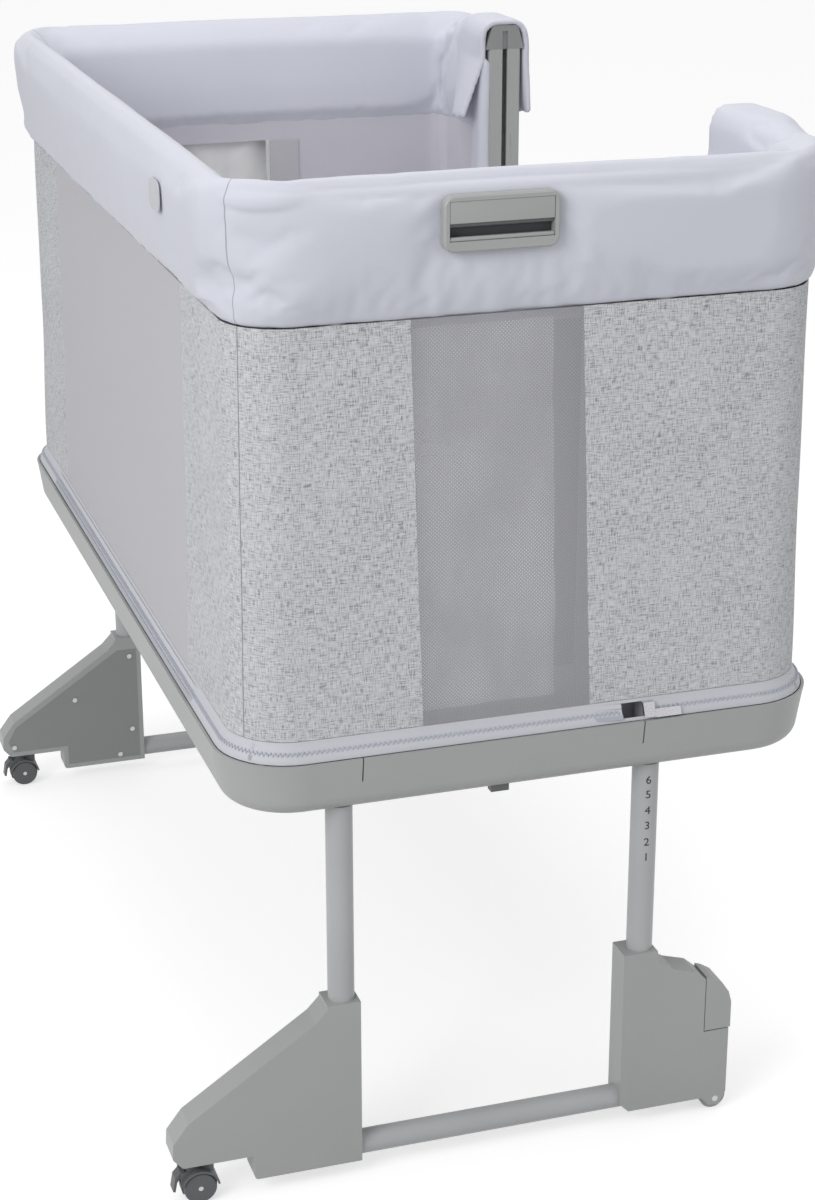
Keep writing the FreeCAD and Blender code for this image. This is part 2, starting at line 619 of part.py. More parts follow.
for sign in (-1, 1):
    wheel = new_body("wheel_%d" % (sign + 1))
    rim = new_sketch(wheel, "wheel_outline", "XZ_Plane",
                     "leg_spacing / 2 + %d * (%s + wheel_width / 2)" % (sign, half_gap))
    circle(rim, CASTER_X, "wheel_radius", "wheel_radius")
    circle(rim, CASTER_X, "wheel_radius", "axle_radius + pin_clearance")
    pad(wheel, rim, "wheel_width")
    bevel_edges(wheel, "hood_gap", lambda edge: edge.BoundBox.XLength > value("2 * wheel_radius - 1"))
    wheels.append(wheel)
near["caster_wheels"] = fuse("near_caster_wheels", *wheels)
pedal = new_body("pedal_plate")
lever = new_sketch(pedal, "pedal_outline", "XZ_Plane", LEG_PLANE)
polygon(lever, [
    (pedal_x + " - 2", pedal_z + " - 2"), (pedal_x + " + 2", pedal_z + " + 2"),
    (pedal_x + " - 4", pedal_z + " + 3"), ("-pedal_reach + 3", pedal_z + " - 4"),
    ("-pedal_reach", "wheel_radius - 3"), ("-pedal_reach + 3", "wheel_radius - 4"),
    ("-pedal_reach + 5.5", "wheel_radius + 9"),
])
pad(pedal, lever, "pedal_width")
barrel = tube_solid("pedal_barrel", "pin_radius / 2", pedal_z, "pedal_width", pedal_x,
                    "-leg_spacing / 2 - pedal_width / 2", "Y")
pivot = tube_solid("pedal_pivot", "pin_radius / 2 - 0.3", pedal_z, "pedal_width + 7", pedal_x,
                   "-leg_spacing / 2 - pedal_width / 2 - 3.5", "Y")
near["brake_pedal"] = fuse("near_brake_pedal", pedal, barrel, pivot)

for name, made in near.items():
    made.Label = "near_" + name
    keep(made)
    keep(mirrored("far_" + name, made))

# The basket's walls follow the tray's outline, drawn in a little at the waist. Each is a ring between
# two lofts, split where its cloths meet, and open on the bed side between the guide posts.
NEAR_Y = "-tray_length / 2"
LEFT_X = "tray_offset - tray_width / 2"
RIGHT_X = "tray_offset + tray_width / 2"


def corner(inset):
    return "tray_corner - (%s)" % inset


def evenly(height, inset):
    """A section with the same inset on every side."""
    return (height, inset, inset, inset, corner(inset))


bed_gap = block("bed_gap", "guide_position - guide_width", RIGHT_X + " + 60", "-bed_opening_half",
                "bed_opening_half", "tray_floor", "rim_top + 60")
guide_rooms = []
for end, sign in ENDS:
    faces = sorted(("%d * (bed_opening_half - 1)" % sign,
                    "%d * (bed_opening_half + guide_depth + slide_gap)" % sign), key=value)
    guide_rooms.append(block(
        end + "_guide_room", "guide_position - guide_width / 2 - cap_overhang - 1",
        RIGHT_X + " + 60", faces[0], faces[1], "tray_floor", "rim_top + 60",
    ))
wall_levels = [("wall_base", "wall_inset"), ("wall_waist", "waist_inset"), ("wall_seam", "seam_inset")]
wall_outer = loft("wall_outer", [evenly(height, inset) for height, inset in wall_levels])
wall_inner = loft("wall_inner", [
    evenly(height + extra, inset + " + linen_thickness")
    for (height, inset), extra in zip(wall_levels, (" - 0.01", "", " + 0.01"))
])
wall_ring = cut("wall_ring", wall_outer, wall_inner, fuse("wall_gaps", bed_gap, *guide_rooms))
low = "tray_lip - 20"
high = "rim_top + 20"
end_parts = {}
for end, front, back in (("near", NEAR_Y + " - 50", "%s"), ("far", "%s", "tray_length / 2 + 50")):
    sign = "-" if end == "near" else ""

    def reach(distance):
        return (front % (sign + distance) if "%s" in front else front,
                back % (sign + distance) if "%s" in back else back)

    near_edge, far_edge = reach("side_mesh_half")
    left = block(end + "_linen_left_space", LEFT_X + " - 50", "-window_left", near_edge, far_edge, low, high)
    near_edge, far_edge = reach("bed_opening_half")
    right = block(end + "_linen_right_space", "window_right", RIGHT_X + " + 50", near_edge, far_edge,
                  low, high)
    keep(common(end + "_linen", wall_ring, fuse(end + "_linen_space", left, right)))
    near_edge, far_edge = reach("(tray_length / 2 - tray_corner)")
    middle = block(end + "_window_space", "-window_left", "window_right", near_edge, far_edge, low, high)
    keep(common(end + "_mesh_window", wall_ring, middle))
side_space = block("side_space", LEFT_X + " - 50", "-window_left", "-side_mesh_half", "side_mesh_half",
                   low, high)
keep(common("left_mesh_side", wall_ring, side_space))

# The zip band between tray and walls, open on the bed side.
zip_outer = loft("zip_outer", [evenly("tray_lip", "zip_inset"), evenly("wall_base", "wall_inset - 0.5")])
zip_inner = loft("zip_inner", [
    evenly("tray_lip - 0.01", "zip_inset + zip_thickness"),
    evenly("wall_base + 0.01", "wall_inset - 0.5 + zip_thickness"),
])
keep(cut("zip_tape", zip_outer, zip_inner, fuse("zip_gaps", bed_gap, *guide_rooms)))

# The padded rim: an inverted channel of padded cloth over the rim's tube, with a rounded crown.
rim_side_mid = "rim_mid_inset - 19"
rim_levels = [
    ("wall_seam", "seam_inset - 1", "lining_inset", "lining_side_inset"),
    ("rim_mid", "rim_flare + 2", "rim_mid_inset", rim_side_mid),
    ("rim_top", "rim_flare + 4", "rim_crown_inset", "rim_crown_inset - 8"),
]


def rim_section(height, end, side):
    return (height, side, end, side, corner(side))


rim_outer = loft("rim_outer", [
    rim_section(height, outer, outer) for height, outer, inner, side in rim_levels
])
rim_inner = loft("rim_inner", [
    rim_section(height + extra, inner, side)
    for (height, outer, inner, side), extra in zip(rim_levels, (" - 0.01", "", " + 0.01"))
])
cavity_outer = loft("cavity_outer", [
    rim_section(height + extra, outer + " + rim_skin", outer + " + rim_skin")
    for (height, outer, inner, side), extra in zip(rim_levels, (" - 0.02", "", " - rim_skin - 6"))
])
cavity_inner = loft("cavity_inner", [
    rim_section(height + extra, inner + " - rim_skin", side + " - rim_skin")
    for (height, outer, inner, side), extra in zip(rim_levels, (" - 0.03", "", " - rim_skin - 5"))
])
rim_cavity = cut("rim_cavity", cavity_outer, cavity_inner)
bezel_front = "tray_length / 2 + handle_proud"
bezel_rooms = []
for end, sign in ENDS:
    faces = sorted(("%d * (%s)" % (sign, bezel_front),
                    "%d * (%s - handle_depth - seat_gap)" % (sign, bezel_front)), key=value)
    bezel_rooms.append(block(
        end + "_bezel_room", "handle_position - handle_width / 2 - seat_gap",
        "handle_position + handle_width / 2 + seat_gap", faces[0], faces[1],
        "handle_middle - handle_height / 2 - seat_gap", "handle_middle + handle_height / 2 + seat_gap",
    ))
rim_gap = fuse("rim_gaps", bed_gap, *bezel_rooms, *guide_rooms)
keep(cut("rim_padding", rim_outer, rim_inner, rim_cavity, rim_gap))

# The tube inside the rim, on three sides and round the bed-side corners as far as the guide posts.
tube_inset = "rim_tube_inset"
tube_body = new_body("rim_tube_ring")
spine = new_sketch(tube_body, "rim_tube_spine", offset="rim_tube_height")
rounded(spine, LEFT_X + " + rim_tube_side", RIGHT_X + " - rim_tube_side", "tray_length / 2 - rim_tube_inset",
        "tray_corner - rim_tube_inset")
ring_profile = new_sketch(tube_body, "rim_tube_profile", "YZ_Plane", "tray_offset")
circle(ring_profile, "tray_length / 2 - rim_tube_inset", "rim_tube_height", "rim_tube_radius")
pipe = tube_body.newObject("PartDesign::AdditivePipe", "rim_tube_pipe")
pipe.Profile = ring_profile
pipe.Spine = (spine, ["Edge%d" % (i + 1) for i in range(8)])
tube_gap = block("tube_gap", "guide_position - guide_width", RIGHT_X + " + 60",
                 "-bed_opening_half - guide_depth - slide_gap", "bed_opening_half + guide_depth + slide_gap",
                 "tray_floor", "rim_top + 60")
tube_body.Label = "rim_tube_ring"
keep(cut("rim_tube", tube_body, tube_gap))

# The smooth inner wall, with a window at each end and open to the mesh on the closed side.
lining_low = "tray_floor + bush_height + 1"
lining_outer = loft("lining_outer", [
    (lining_low, "lining_side_inset - lining_thickness", "lining_inset - lining_thickness",
     "lining_side_inset - lining_thickness", corner("lining_inset")),
    ("rim_hem - 0.2", "lining_side_inset - lining_thickness", "lining_inset - lining_thickness",
     "lining_side_inset - lining_thickness", corner("lining_inset")),
])
lining_inner = loft("lining_inner", [
    (lining_low + " - 1", "lining_side_inset", "lining_inset", "lining_side_inset", corner("lining_inset")),
    ("rim_hem + 1", "lining_side_inset", "lining_inset", "lining_side_inset", corner("lining_inset")),
])
end_windows = block(
    "end_windows", "-inner_window_left", "inner_window_right", NEAR_Y + " - 20", "tray_length / 2 + 20",
    "inner_window_sill", "rim_hem - 25",
)
side_window = block(
    "side_window", LEFT_X + " - 20", "tray_offset", "-side_mesh_half + 10", "side_mesh_half - 10",
    "inner_window_sill", "rim_hem - 25",
)
lining_top = block(
    "lining_top", LEFT_X, RIGHT_X, NEAR_Y, "tray_length / 2", "wall_seam - 0.3", "rim_hem + 5",
)
keep(cut("inner_lining", lining_outer, lining_inner,
         fuse("lining_gaps", end_windows, side_window, bed_gap, lining_top, *guide_rooms)))

# Loose cloth hanging in folds between each end's mesh and the window behind it.
for end, sign in ENDS:
    flap = new_body(end + "_window_flap")
    waves = new_sketch(flap, end + "_flap_outline", offset="inner_window_sill - flap_lap")
    folds = []
    depth = "%d * (tray_length / 2 - lining_inset + lining_thickness * 2 + slide_gap" % sign
    count = 8
    for step in range(count + 1):
        share = "(-inner_window_left - flap_lap + (inner_window_right + inner_window_left + 2 * flap_lap)"
        share += " * %d / %d)" % (step, count)
        folds.append((share, depth + " + flap_fold * %d)" % (step % 2)))
    backs = [(across, up[:-1] + " - lining_thickness)") for across, up in reversed(folds)]
    polygon(waves, folds + backs)
    pad(flap, waves, "rim_hem - 25 - inner_window_sill + 2 * flap_lap", both=False)
    round_edges(flap, "lining_thickness * 2", lambda edge: along(edge, 2)
                and value("-inner_window_left + 3") < edge.BoundBox.XMin < value("inner_window_right - 3"))
    keep(flap)

# Guide posts at the bed-side opening: slotted profiles with a head, where the drop side's shoes run.
guide_bottom = "tray_lip - guide_foot"
caps = []
for end, sign in ENDS:
    guide = new_body(end + "_guide_post")
    face = "%d * bed_opening_half" % sign
    inside = "%d" % sign
    outline = new_sketch(guide, end + "_guide_outline", offset=guide_bottom)
    half = "guide_width / 2"
    deep = "%d * (bed_opening_half + guide_depth)" % sign
    polygon(outline, [
        ("guide_position - %s" % half, face), ("guide_position + %s" % half, face),
        ("guide_position + %s" % half, deep), ("guide_position - %s" % half, deep),
    ])
    pad(guide, outline, "guide_top - (%s)" % guide_bottom, both=False)
    round_edges(guide, "guide_lip", lambda edge: along(edge, 2))
    slit = new_sketch(guide, end + "_guide_slit", offset=guide_bottom)
    mouth = "%d * (bed_opening_half - 2)" % sign
    throat = "%d * (bed_opening_half + guide_lip)" % sign
    floor = "%d * (bed_opening_half + guide_depth - guide_wall)" % sign
    narrow = "guide_slit / 2"
    wide = "(guide_width / 2 - guide_wall - 6)"
    polygon(slit, [
        ("guide_position - " + narrow, mouth), ("guide_position + " + narrow, mouth),
        ("guide_position + " + narrow, throat), ("guide_position + " + wide, throat),
        ("guide_position + " + wide, floor), ("guide_position - " + wide, floor),
        ("guide_position - " + wide, throat), ("guide_position - " + narrow, throat),
    ])
    pocket(guide, slit, "guide_top", both=False, back=True)
    keep(guide)
    cap = new_body(end + "_guide_cap")
    front = new_sketch(cap, end + "_cap_outline", "XZ_Plane",
                       "%d * (bed_opening_half + guide_depth / 2)" % -sign)
    polygon(front, [
        ("guide_position - guide_width / 2 - cap_overhang", "guide_top"),
        ("guide_position + guide_width / 2 + cap_overhang", "guide_top"),
        ("guide_position + guide_width / 2 - cap_overhang", "guide_top + cap_height"),
        ("guide_position - guide_width / 2 + cap_overhang", "guide_top + cap_height"),
    ])
    pad(cap, front, "guide_depth + seat_gap * 4")
    round_edges(cap, "cap_overhang * 1.6", lambda edge: along(edge, 1)
                and edge.BoundBox.ZMin > value("guide_top + 5"))
    notch = new_sketch(cap, end + "_cap_notch", "XZ_Plane", "%d * (bed_opening_half - 1)" % -sign)
    polygon(notch, [
        ("guide_position - guide_slit / 2", "guide_top - 1"),
        ("guide_position + guide_slit / 2", "guide_top - 1"),
        ("guide_position + guide_slit / 2", "guide_top + cap_height - 9"),
        ("guide_position - guide_slit / 2", "guide_top + cap_height - 9"),
    ])
    pocket(cap, notch, "guide_lip * 2")
    caps.append(cap)
keep(fuse("guide_caps", *caps))

# The drop side, lowered to the tray: tube, runners in the guide slots, padded sleeve, gathered mesh.
rail_end = "bed_opening_half + guide_lip + 1"
rail = tube_solid("rail_rod", "rail_radius", "rail_height", "2 * bed_opening_half - 2", "guide_position",
                  "-bed_opening_half + 1", "Y")
rail_core = tube_solid("rail_core", "rail_radius - post_wall", "rail_height", "2 * bed_opening_half + 20",
                       "guide_position", "-bed_opening_half - 10", "Y")
keep(cut("drop_side_rail", rail, rail_core))
shoes = []
for end, sign in ENDS:
    spans = []
    for begin, stop in (("bed_opening_half + guide_lip + slide_gap",
                         "bed_opening_half + guide_depth - guide_wall - slide_gap"),
                        ("bed_opening_half - 1", "bed_opening_half + guide_lip + 1")):
        spans.append(sorted(("%d * (%s)" % (sign, begin), "%d * (%s)" % (sign, stop)), key=value))
    wide = "(guide_width / 2 - guide_wall - 6 - slide_gap)"
    runner = block(end + "_runner", "guide_position - " + wide, "guide_position + " + wide,
                   spans[0][0], spans[0][1], "rail_height - shoe_height / 2", "rail_height + shoe_height / 2")
    neck = block(end + "_neck", "guide_position - guide_slit / 2 + slide_gap",
                 "guide_position + guide_slit / 2 - slide_gap", spans[1][0], spans[1][1],
                 "rail_height - shoe_height / 2", "rail_height + shoe_height / 2")
    shoes.append(fuse(end + "_shoe", runner, neck))
keep(fuse("drop_side_shoes", *shoes))
sleeve = new_body("sleeve_pad")
outline = new_sketch(sleeve, "sleeve_outline", "XZ_Plane", "0")
polygon(outline, [
    ("guide_position - cover_width / 2", "rail_height - cover_height / 2"),
    ("guide_position + cover_width / 2", "rail_height - cover_height / 2"),
    ("guide_position + cover_width / 2", "rail_height + cover_height / 2"),
    ("guide_position - cover_width / 2", "rail_height + cover_height / 2"),
])
pad(sleeve, outline, "2 * bed_opening_half - 14")
round_edges(sleeve, "cover_width / 2 - 5", lambda edge: along(edge, 1))
sleeve_bore = tube_solid("sleeve_bore", "rail_radius + seat_gap", "rail_height", "2 * bed_opening_half + 20",
                         "guide_position", "-bed_opening_half - 10", "Y")
keep(cut("drop_side_cover", sleeve, sleeve_bore))
keep(block("bed_side_panel", "guide_position - 7", "guide_position + 7", "-bed_opening_half + 7",
           "bed_opening_half - 7", "tray_lip + slide_gap", "rail_height - cover_height / 2 - slide_gap"))

# What lies in the tray: four tubes, a board and the mattress.
tube_z = "tray_floor + tray_wall + frame_tube_radius"
board_z = tube_z + " + frame_tube_radius"
bars = []
for hand in (-1, 1):
    bars.append(tube_solid("long_tube_%d" % (hand + 1), "frame_tube_radius", tube_z, "mattress_length - 60",
                           "tray_offset + %d * mattress_width / 3" % hand, "-mattress_length / 2 + 30", "Y"))
    bars.append(tube_solid("cross_tube_%d" % (hand + 1), "frame_tube_radius", tube_z, "mattress_width - 40",
                           "tray_offset - mattress_width / 2 + 20", "%d * mattress_length / 3" % hand, "X"))
keep(fuse("base_frame", *bars))
bed_middle = "(tray_offset - 4)"
keep(block("mattress_board", bed_middle + " - mattress_width / 2 - 8", bed_middle + " + mattress_width / 2 + 8",
           "-mattress_length / 2 - 2", "mattress_length / 2 + 2", board_z, board_z + " + board_thickness"))
mattress = new_body("mattress")
outline = new_sketch(mattress, "mattress_outline", offset=board_z + " + board_thickness + slide_gap")
rounded(outline, bed_middle + " - mattress_width / 2", bed_middle + " + mattress_width / 2",
        "mattress_length / 2", "mattress_round * 2")
pad(mattress, outline, "mattress_height", both=False)
round_edges(mattress, "mattress_round", lambda edge: edge.BoundBox.ZLength < 0.01)
keep(mattress)

# The handles in the end rims: a framed opening with a grip that is squeezed upwards.
handle_low = "handle_middle - handle_height / 2"
handle_high = "handle_middle + handle_height / 2"
handle_left = "handle_position - handle_width / 2"
handle_right = "handle_position + handle_width / 2"
bezel = new_body("near_handle_bezel")
plate = new_sketch(bezel, "bezel_outline", "XZ_Plane", bezel_front + " - handle_depth")
polygon(plate, [(handle_left, handle_low), (handle_right, handle_low), (handle_right, handle_high),
                (handle_left, handle_high)])
pad(bezel, plate, "handle_depth", both=False)
round_edges(bezel, "handle_round", lambda edge: along(edge, 1))
bevel_edges(bezel, "handle_rim / 3", lambda edge: edge.BoundBox.YMax < value("-" + bezel_front.replace(
    " + ", " - ")) + 0.01 and edge.BoundBox.YLength < 0.01)
mouth = new_sketch(bezel, "bezel_mouth", "XZ_Plane", bezel_front + " + 1")
polygon(mouth, [
    (handle_left + " + handle_rim", handle_low + " + handle_rim * 2"),
    (handle_right + " - handle_rim", handle_low + " + handle_rim * 2"),
    (handle_right + " - handle_rim", handle_high + " - handle_rim"),
    (handle_left + " + handle_rim", handle_high + " - handle_rim"),
])
pocket(bezel, mouth, "handle_depth - 2", both=False)
keep(bezel)
keep(mirrored("far_handle_bezel", bezel))
grip = new_body("near_handle_grip")
grip_low = handle_low + " + handle_rim * 3 + grip_height / 2"
bar_shape = new_sketch(grip, "grip_outline", "XZ_Plane", bezel_front + " - handle_depth / 2")
polygon(bar_shape, [
    (handle_left + " + handle_rim + slide_gap", grip_low),
    (handle_right + " - handle_rim - slide_gap", grip_low),
    (handle_right + " - handle_rim - slide_gap", grip_low + " + grip_height"),
    (handle_left + " + handle_rim + slide_gap", grip_low + " + grip_height"),
])
pad(grip, bar_shape, "handle_depth - 8")
round_edges(grip, "handle_rim / 2", lambda edge: along(edge, 0))
keep(grip)
keep(mirrored("far_handle_grip", grip))

# The release latch's nub under the middle of each end, through a slot in the tray.
for end, sign in ENDS:
    place = "%d * (tray_length / 2 - tray_roll - tray_draft / 2)" % sign
    keep(block(end + "_release_latch", "-latch_width / 2", "latch_width / 2", place + " - latch_depth / 2",
               place + " + latch_depth / 2", "tray_floor - latch_drop",
               "tray_floor - latch_drop + latch_height"))

# The zip's slider and its tab, parked at the near end beside the bed-side post.
ZIP_SLOPE = "(wall_inset - 0.5 - zip_inset) / (wall_base - tray_lip)"


def on_band(height, proud):
    """A point over the zip band at a height above the tray's lip, standing proud of it."""
    across = "-tray_length / 2 + zip_inset + (%s) * %s - (%s)" % (height, ZIP_SLOPE, proud)
    return (across, "tray_lip + %s" % height)


for label, begin, length, heights, prouds in (
    ("zip_slider", "slider_left", "slider_length", ("4", "20"), ("seat_gap * 2", "5")),
    ("zip_pull", "slider_left + slider_length + seat_gap", "pull_length", ("3", "12"), ("3", "5")),
):
    made = new_body(label)
    outline = new_sketch(made, label + "_outline", "YZ_Plane", begin)
    polygon(outline, [
        on_band(heights[0], prouds[1]), on_band(heights[0], prouds[0]),
        on_band(heights[1], prouds[0]), on_band(heights[1], prouds[1]),
    ])
    pad(made, outline, length, both=False)
    round_edges(made, "seat_gap * 10", lambda edge: edge.BoundBox.XLength < 0.01
                and edge.BoundBox.ZLength < 1)
    keep(made)

# Every object must be sound before anything is written. The outline's middle becomes the origin.
FRAME_SHIFT = "(toe_reach - tray_offset - tray_width / 2) / 2"
doc.recompute()
for made in doc.Objects:
    if "Invalid" in made.State or "Error" in made.State:
        raise ValueError("%s failed: %s" % (made.Label, made.State))
for label, made in pieces.items():
    shape = made.Shape
    if shape.isNull() or not shape.isValid() or not shape.Solids:
        raise ValueError(label + " is not a sound solid")
for label, made in pieces.items():
    shape = made.Shape.copy()
    shape.translate(FreeCAD.Vector(value(FRAME_SHIFT), 0, 0))
    shape.exportStep(os.path.join("parts", label + ".step"))
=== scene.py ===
import math

import bmesh
import bpy
from mathutils import Matrix, Vector, noise


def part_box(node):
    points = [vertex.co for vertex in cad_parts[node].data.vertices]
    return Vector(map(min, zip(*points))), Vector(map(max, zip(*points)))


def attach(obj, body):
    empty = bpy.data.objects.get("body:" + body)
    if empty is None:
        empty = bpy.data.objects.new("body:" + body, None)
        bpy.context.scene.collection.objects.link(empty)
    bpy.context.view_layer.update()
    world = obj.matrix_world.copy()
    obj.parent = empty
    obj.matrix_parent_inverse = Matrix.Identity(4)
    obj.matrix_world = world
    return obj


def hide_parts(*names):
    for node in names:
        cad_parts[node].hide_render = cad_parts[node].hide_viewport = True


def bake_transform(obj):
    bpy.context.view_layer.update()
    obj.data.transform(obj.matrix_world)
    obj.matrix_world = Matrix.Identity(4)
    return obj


bl_info = {
    "name": "Bedside crib dresser",
    "version": (1, 0, 0),
    "blender": (4, 5, 0),
    "location": "View3D > Sidebar > Crib",
    "description": "Dresses the framed bedside crib with cloth walls, padded rims, zips and finishes",
    "category": "Object",
}

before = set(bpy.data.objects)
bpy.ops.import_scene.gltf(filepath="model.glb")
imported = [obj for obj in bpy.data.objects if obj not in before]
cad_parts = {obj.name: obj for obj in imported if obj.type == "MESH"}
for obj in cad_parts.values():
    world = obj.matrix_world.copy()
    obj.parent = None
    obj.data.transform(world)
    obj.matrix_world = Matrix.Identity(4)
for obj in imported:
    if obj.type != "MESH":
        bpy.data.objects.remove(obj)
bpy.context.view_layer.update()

# Sizes that the cloth shares with the frame, in metres. X is measured in the crib's own frame.
TRAY_LOW, TRAY_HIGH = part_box("base_tray")
TRAY_CORNER = 0.090
LEFT, RIGHT = TRAY_LOW[0], TRAY_HIGH[0]
NEAR, FAR = TRAY_LOW[1], TRAY_HIGH[1]
OPENING = 0.405
CLOTH_END = OPENING + 0.026
BED_SIDE, END_WALL = 0.3, 0.5  # past this x a point is on the bed side, and past this |y| on an end

# Lengths walked round the tray's outline, from mid bed side: its straights, one corner and the whole.
LONG_SIDE = (FAR - NEAR) - 2 * TRAY_CORNER
SHORT_SIDE = (RIGHT - LEFT) - 2 * TRAY_CORNER
QUARTER = math.pi / 2 * TRAY_CORNER
ROUND = 2 * (LONG_SIDE + SHORT_SIDE) + 4 * QUARTER
SEAM_ON_CORNER = 0.62
CORNER_SEAM = LONG_SIDE / 2 + QUARTER + SHORT_SIDE + QUARTER * SEAM_ON_CORNER
CORNER_SEAMS = (CORNER_SEAM, -CORNER_SEAM, ROUND - CORNER_SEAM)


# ---------------------------------------------------------------- working by hand, step by step

def fresh():
    """Leave edit mode and drop the selection."""
    if bpy.context.object and bpy.context.object.mode != "OBJECT":
        bpy.ops.object.mode_set(mode="OBJECT")
    bpy.ops.object.select_all(action="DESELECT")


def choose(*pieces):
    """Select these pieces only, the first one active."""
    fresh()
    for piece in pieces:
        piece.select_set(True)
    bpy.context.view_layer.objects.active = pieces[0]


def named(name):
    """Name the piece just added and put its place into its mesh."""
    piece = bpy.context.object
    piece.name = name
    piece.data.name = name
    bpy.ops.object.transform_apply(location=True, rotation=True, scale=True)
    return piece


def cube(name, low, high):
    """A box between two corners."""
    fresh()
    middle = [(a + b) / 2 for a, b in zip(low, high)]
    size = [b - a for a, b in zip(low, high)]
    bpy.ops.mesh.primitive_cube_add(size=1, location=middle, scale=size)
    return named(name)


def grid(name, columns, rows):
    """A flat grid, 1 by 1 about the origin, to be laid out point by point."""
    fresh()
    bpy.ops.mesh.primitive_grid_add(x_subdivisions=columns, y_subdivisions=rows, size=1,
                                    location=(0, 0, 0))
    return named(name)


def pick(piece, kind, test):
    """Go into edit mode, select the edges or faces that pass the test, and count them."""
    choose(piece)
    bpy.ops.object.mode_set(mode="EDIT")
    bpy.ops.mesh.select_mode(type=kind)
    mesh = bmesh.from_edit_mesh(piece.data)
    for item in (*mesh.verts, *mesh.edges, *mesh.faces):
        item.select = False
    found = 0
    for item in mesh.edges if kind == "EDGE" else mesh.faces:
        if test(item):
            item.select_set(True)
            found += 1
    mesh.select_flush_mode()
    bmesh.update_edit_mesh(piece.data)
    return found


def drop(piece, test):
    """Delete the faces whose middle passes the test."""
    pick(piece, "FACE", lambda face: test(face.calc_center_median()))
    bpy.ops.mesh.delete(type="FACE")
    fresh()


def slice_at(piece, axis, places):
    """Cut rings of edges across the piece at each place along an axis."""
    normal = [1 if axis == i else 0 for i in range(3)]
    choose(piece)
    bpy.ops.object.mode_set(mode="EDIT")
    for place in places:
        bpy.ops.mesh.select_all(action="SELECT")
        bpy.ops.mesh.bisect(plane_co=[place * n for n in normal], plane_no=normal)
    fresh()


def finish_with(piece, kind, **settings):
    """Add a modifier with its settings and apply it."""
    choose(piece)
    made = piece.modifiers.new(kind.title(), kind)
    for name, setting in settings.items():
        setattr(made, name, setting)
    bpy.ops.object.modifier_apply(modifier=made.name)
    return piece


def smooth(piece, angle=40):
    """Shade smooth across edges flatter than the angle, in degrees."""
    choose(piece)
    bpy.ops.object.shade_smooth_by_angle(angle=math.radians(angle))
    return piece


def outward(piece):
    """Merge doubles and turn every face outwards."""
    choose(piece)
    bpy.ops.object.mode_set(mode="EDIT")
    bpy.ops.mesh.select_all(action="SELECT")
    bpy.ops.mesh.remove_doubles(threshold=0.00002)
    bpy.ops.mesh.normals_make_consistent(inside=False)
    fresh()
    return piece


def placed(piece, body, finish, slot, *nodes):
    """Dress a finished piece: its material, body and the solids it stands for. The slot is not used."""
    piece.data.materials.clear()
    piece.data.materials.append(finish)
    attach(piece, body)
    if nodes:
        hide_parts(*nodes)
    return piece


def span(begin, end, steps):
    """Evenly spaced places between two ends, without the ends."""
    return [begin + (end - begin) * i / steps for i in range(1, steps)]


# ---------------------------------------------------------------- the outline that all cloth follows

def hub_point(x, y):
    """The point inside the tray's outline that a wall's point faces away from."""
    inside = TRAY_CORNER
    return (min(max(x, LEFT + inside), RIGHT - inside), min(max(y, NEAR + inside), FAR - inside))


def outline_frame(x, y):
    """The point's hub, its distance from the hub and the outward direction, all in plan."""
    hx, hy = hub_point(x, y)
    away = Vector((x - hx, y - hy))
    return Vector((hx, hy)), away.length, away.normalized()


def girth(x, y):
    """The distance walked round the outline to the point nearest to x, y: near way up, far way down."""
    hub, _, way = outline_frame(x, y)
    turn = math.atan2(way.y, way.x)
    near = turn < -0.0001
    if way.x > 0.999:
        return -hub.y
    if way.x <= -0.999 and not near:
        return LONG_SIDE / 2 + SHORT_SIDE + 2 * QUARTER + (hub.y - (NEAR + TRAY_CORNER))
    on_corner = TRAY_CORNER * abs(turn)
    if way.x > 0.001:
        walked = LONG_SIDE / 2 + on_corner
    elif way.x > -0.001:
        walked = LONG_SIDE / 2 + QUARTER + (RIGHT - TRAY_CORNER - hub.x)
    else:
        walked = LONG_SIDE / 2 + SHORT_SIDE + on_corner
    return walked if near else -walked


def wrap_map(piece):
    """A UV map in metres: round the outline, and up. A face across the map's ends is kept whole."""
    layer = piece.data.uv_layers.new(name="wrap")
    points = piece.data.vertices
    for face in piece.data.polygons:
        walks = [girth(*points[v].co.xy) for v in face.vertices]
        top = max(walks)
        for loop, walk in zip(face.loop_indices, walks):
            if top - walk > ROUND / 3:
                walk += ROUND
            co = points[piece.data.loops[loop].vertex_index].co
            layer.data[loop].uv = (walk, co.z)
    piece.data.uv_layers.active = layer


def nudge(point, way, distance):
    """Move a vertex level, along a direction in plan."""
    point.co.x += way.x * distance
    point.co.y += way.y * distance


def level(height, steps):
    """The value at a height on a line through (height, value) steps, eased between them."""
    if height <= steps[0][0]:
        return steps[0][1]
    for (low, first), (high, second) in zip(steps, steps[1:]):
        if height <= high:
            share = (height - low) / (high - low)
            return first + (second - first) * (share * share * (3 - 2 * share))
    return steps[-1][1]


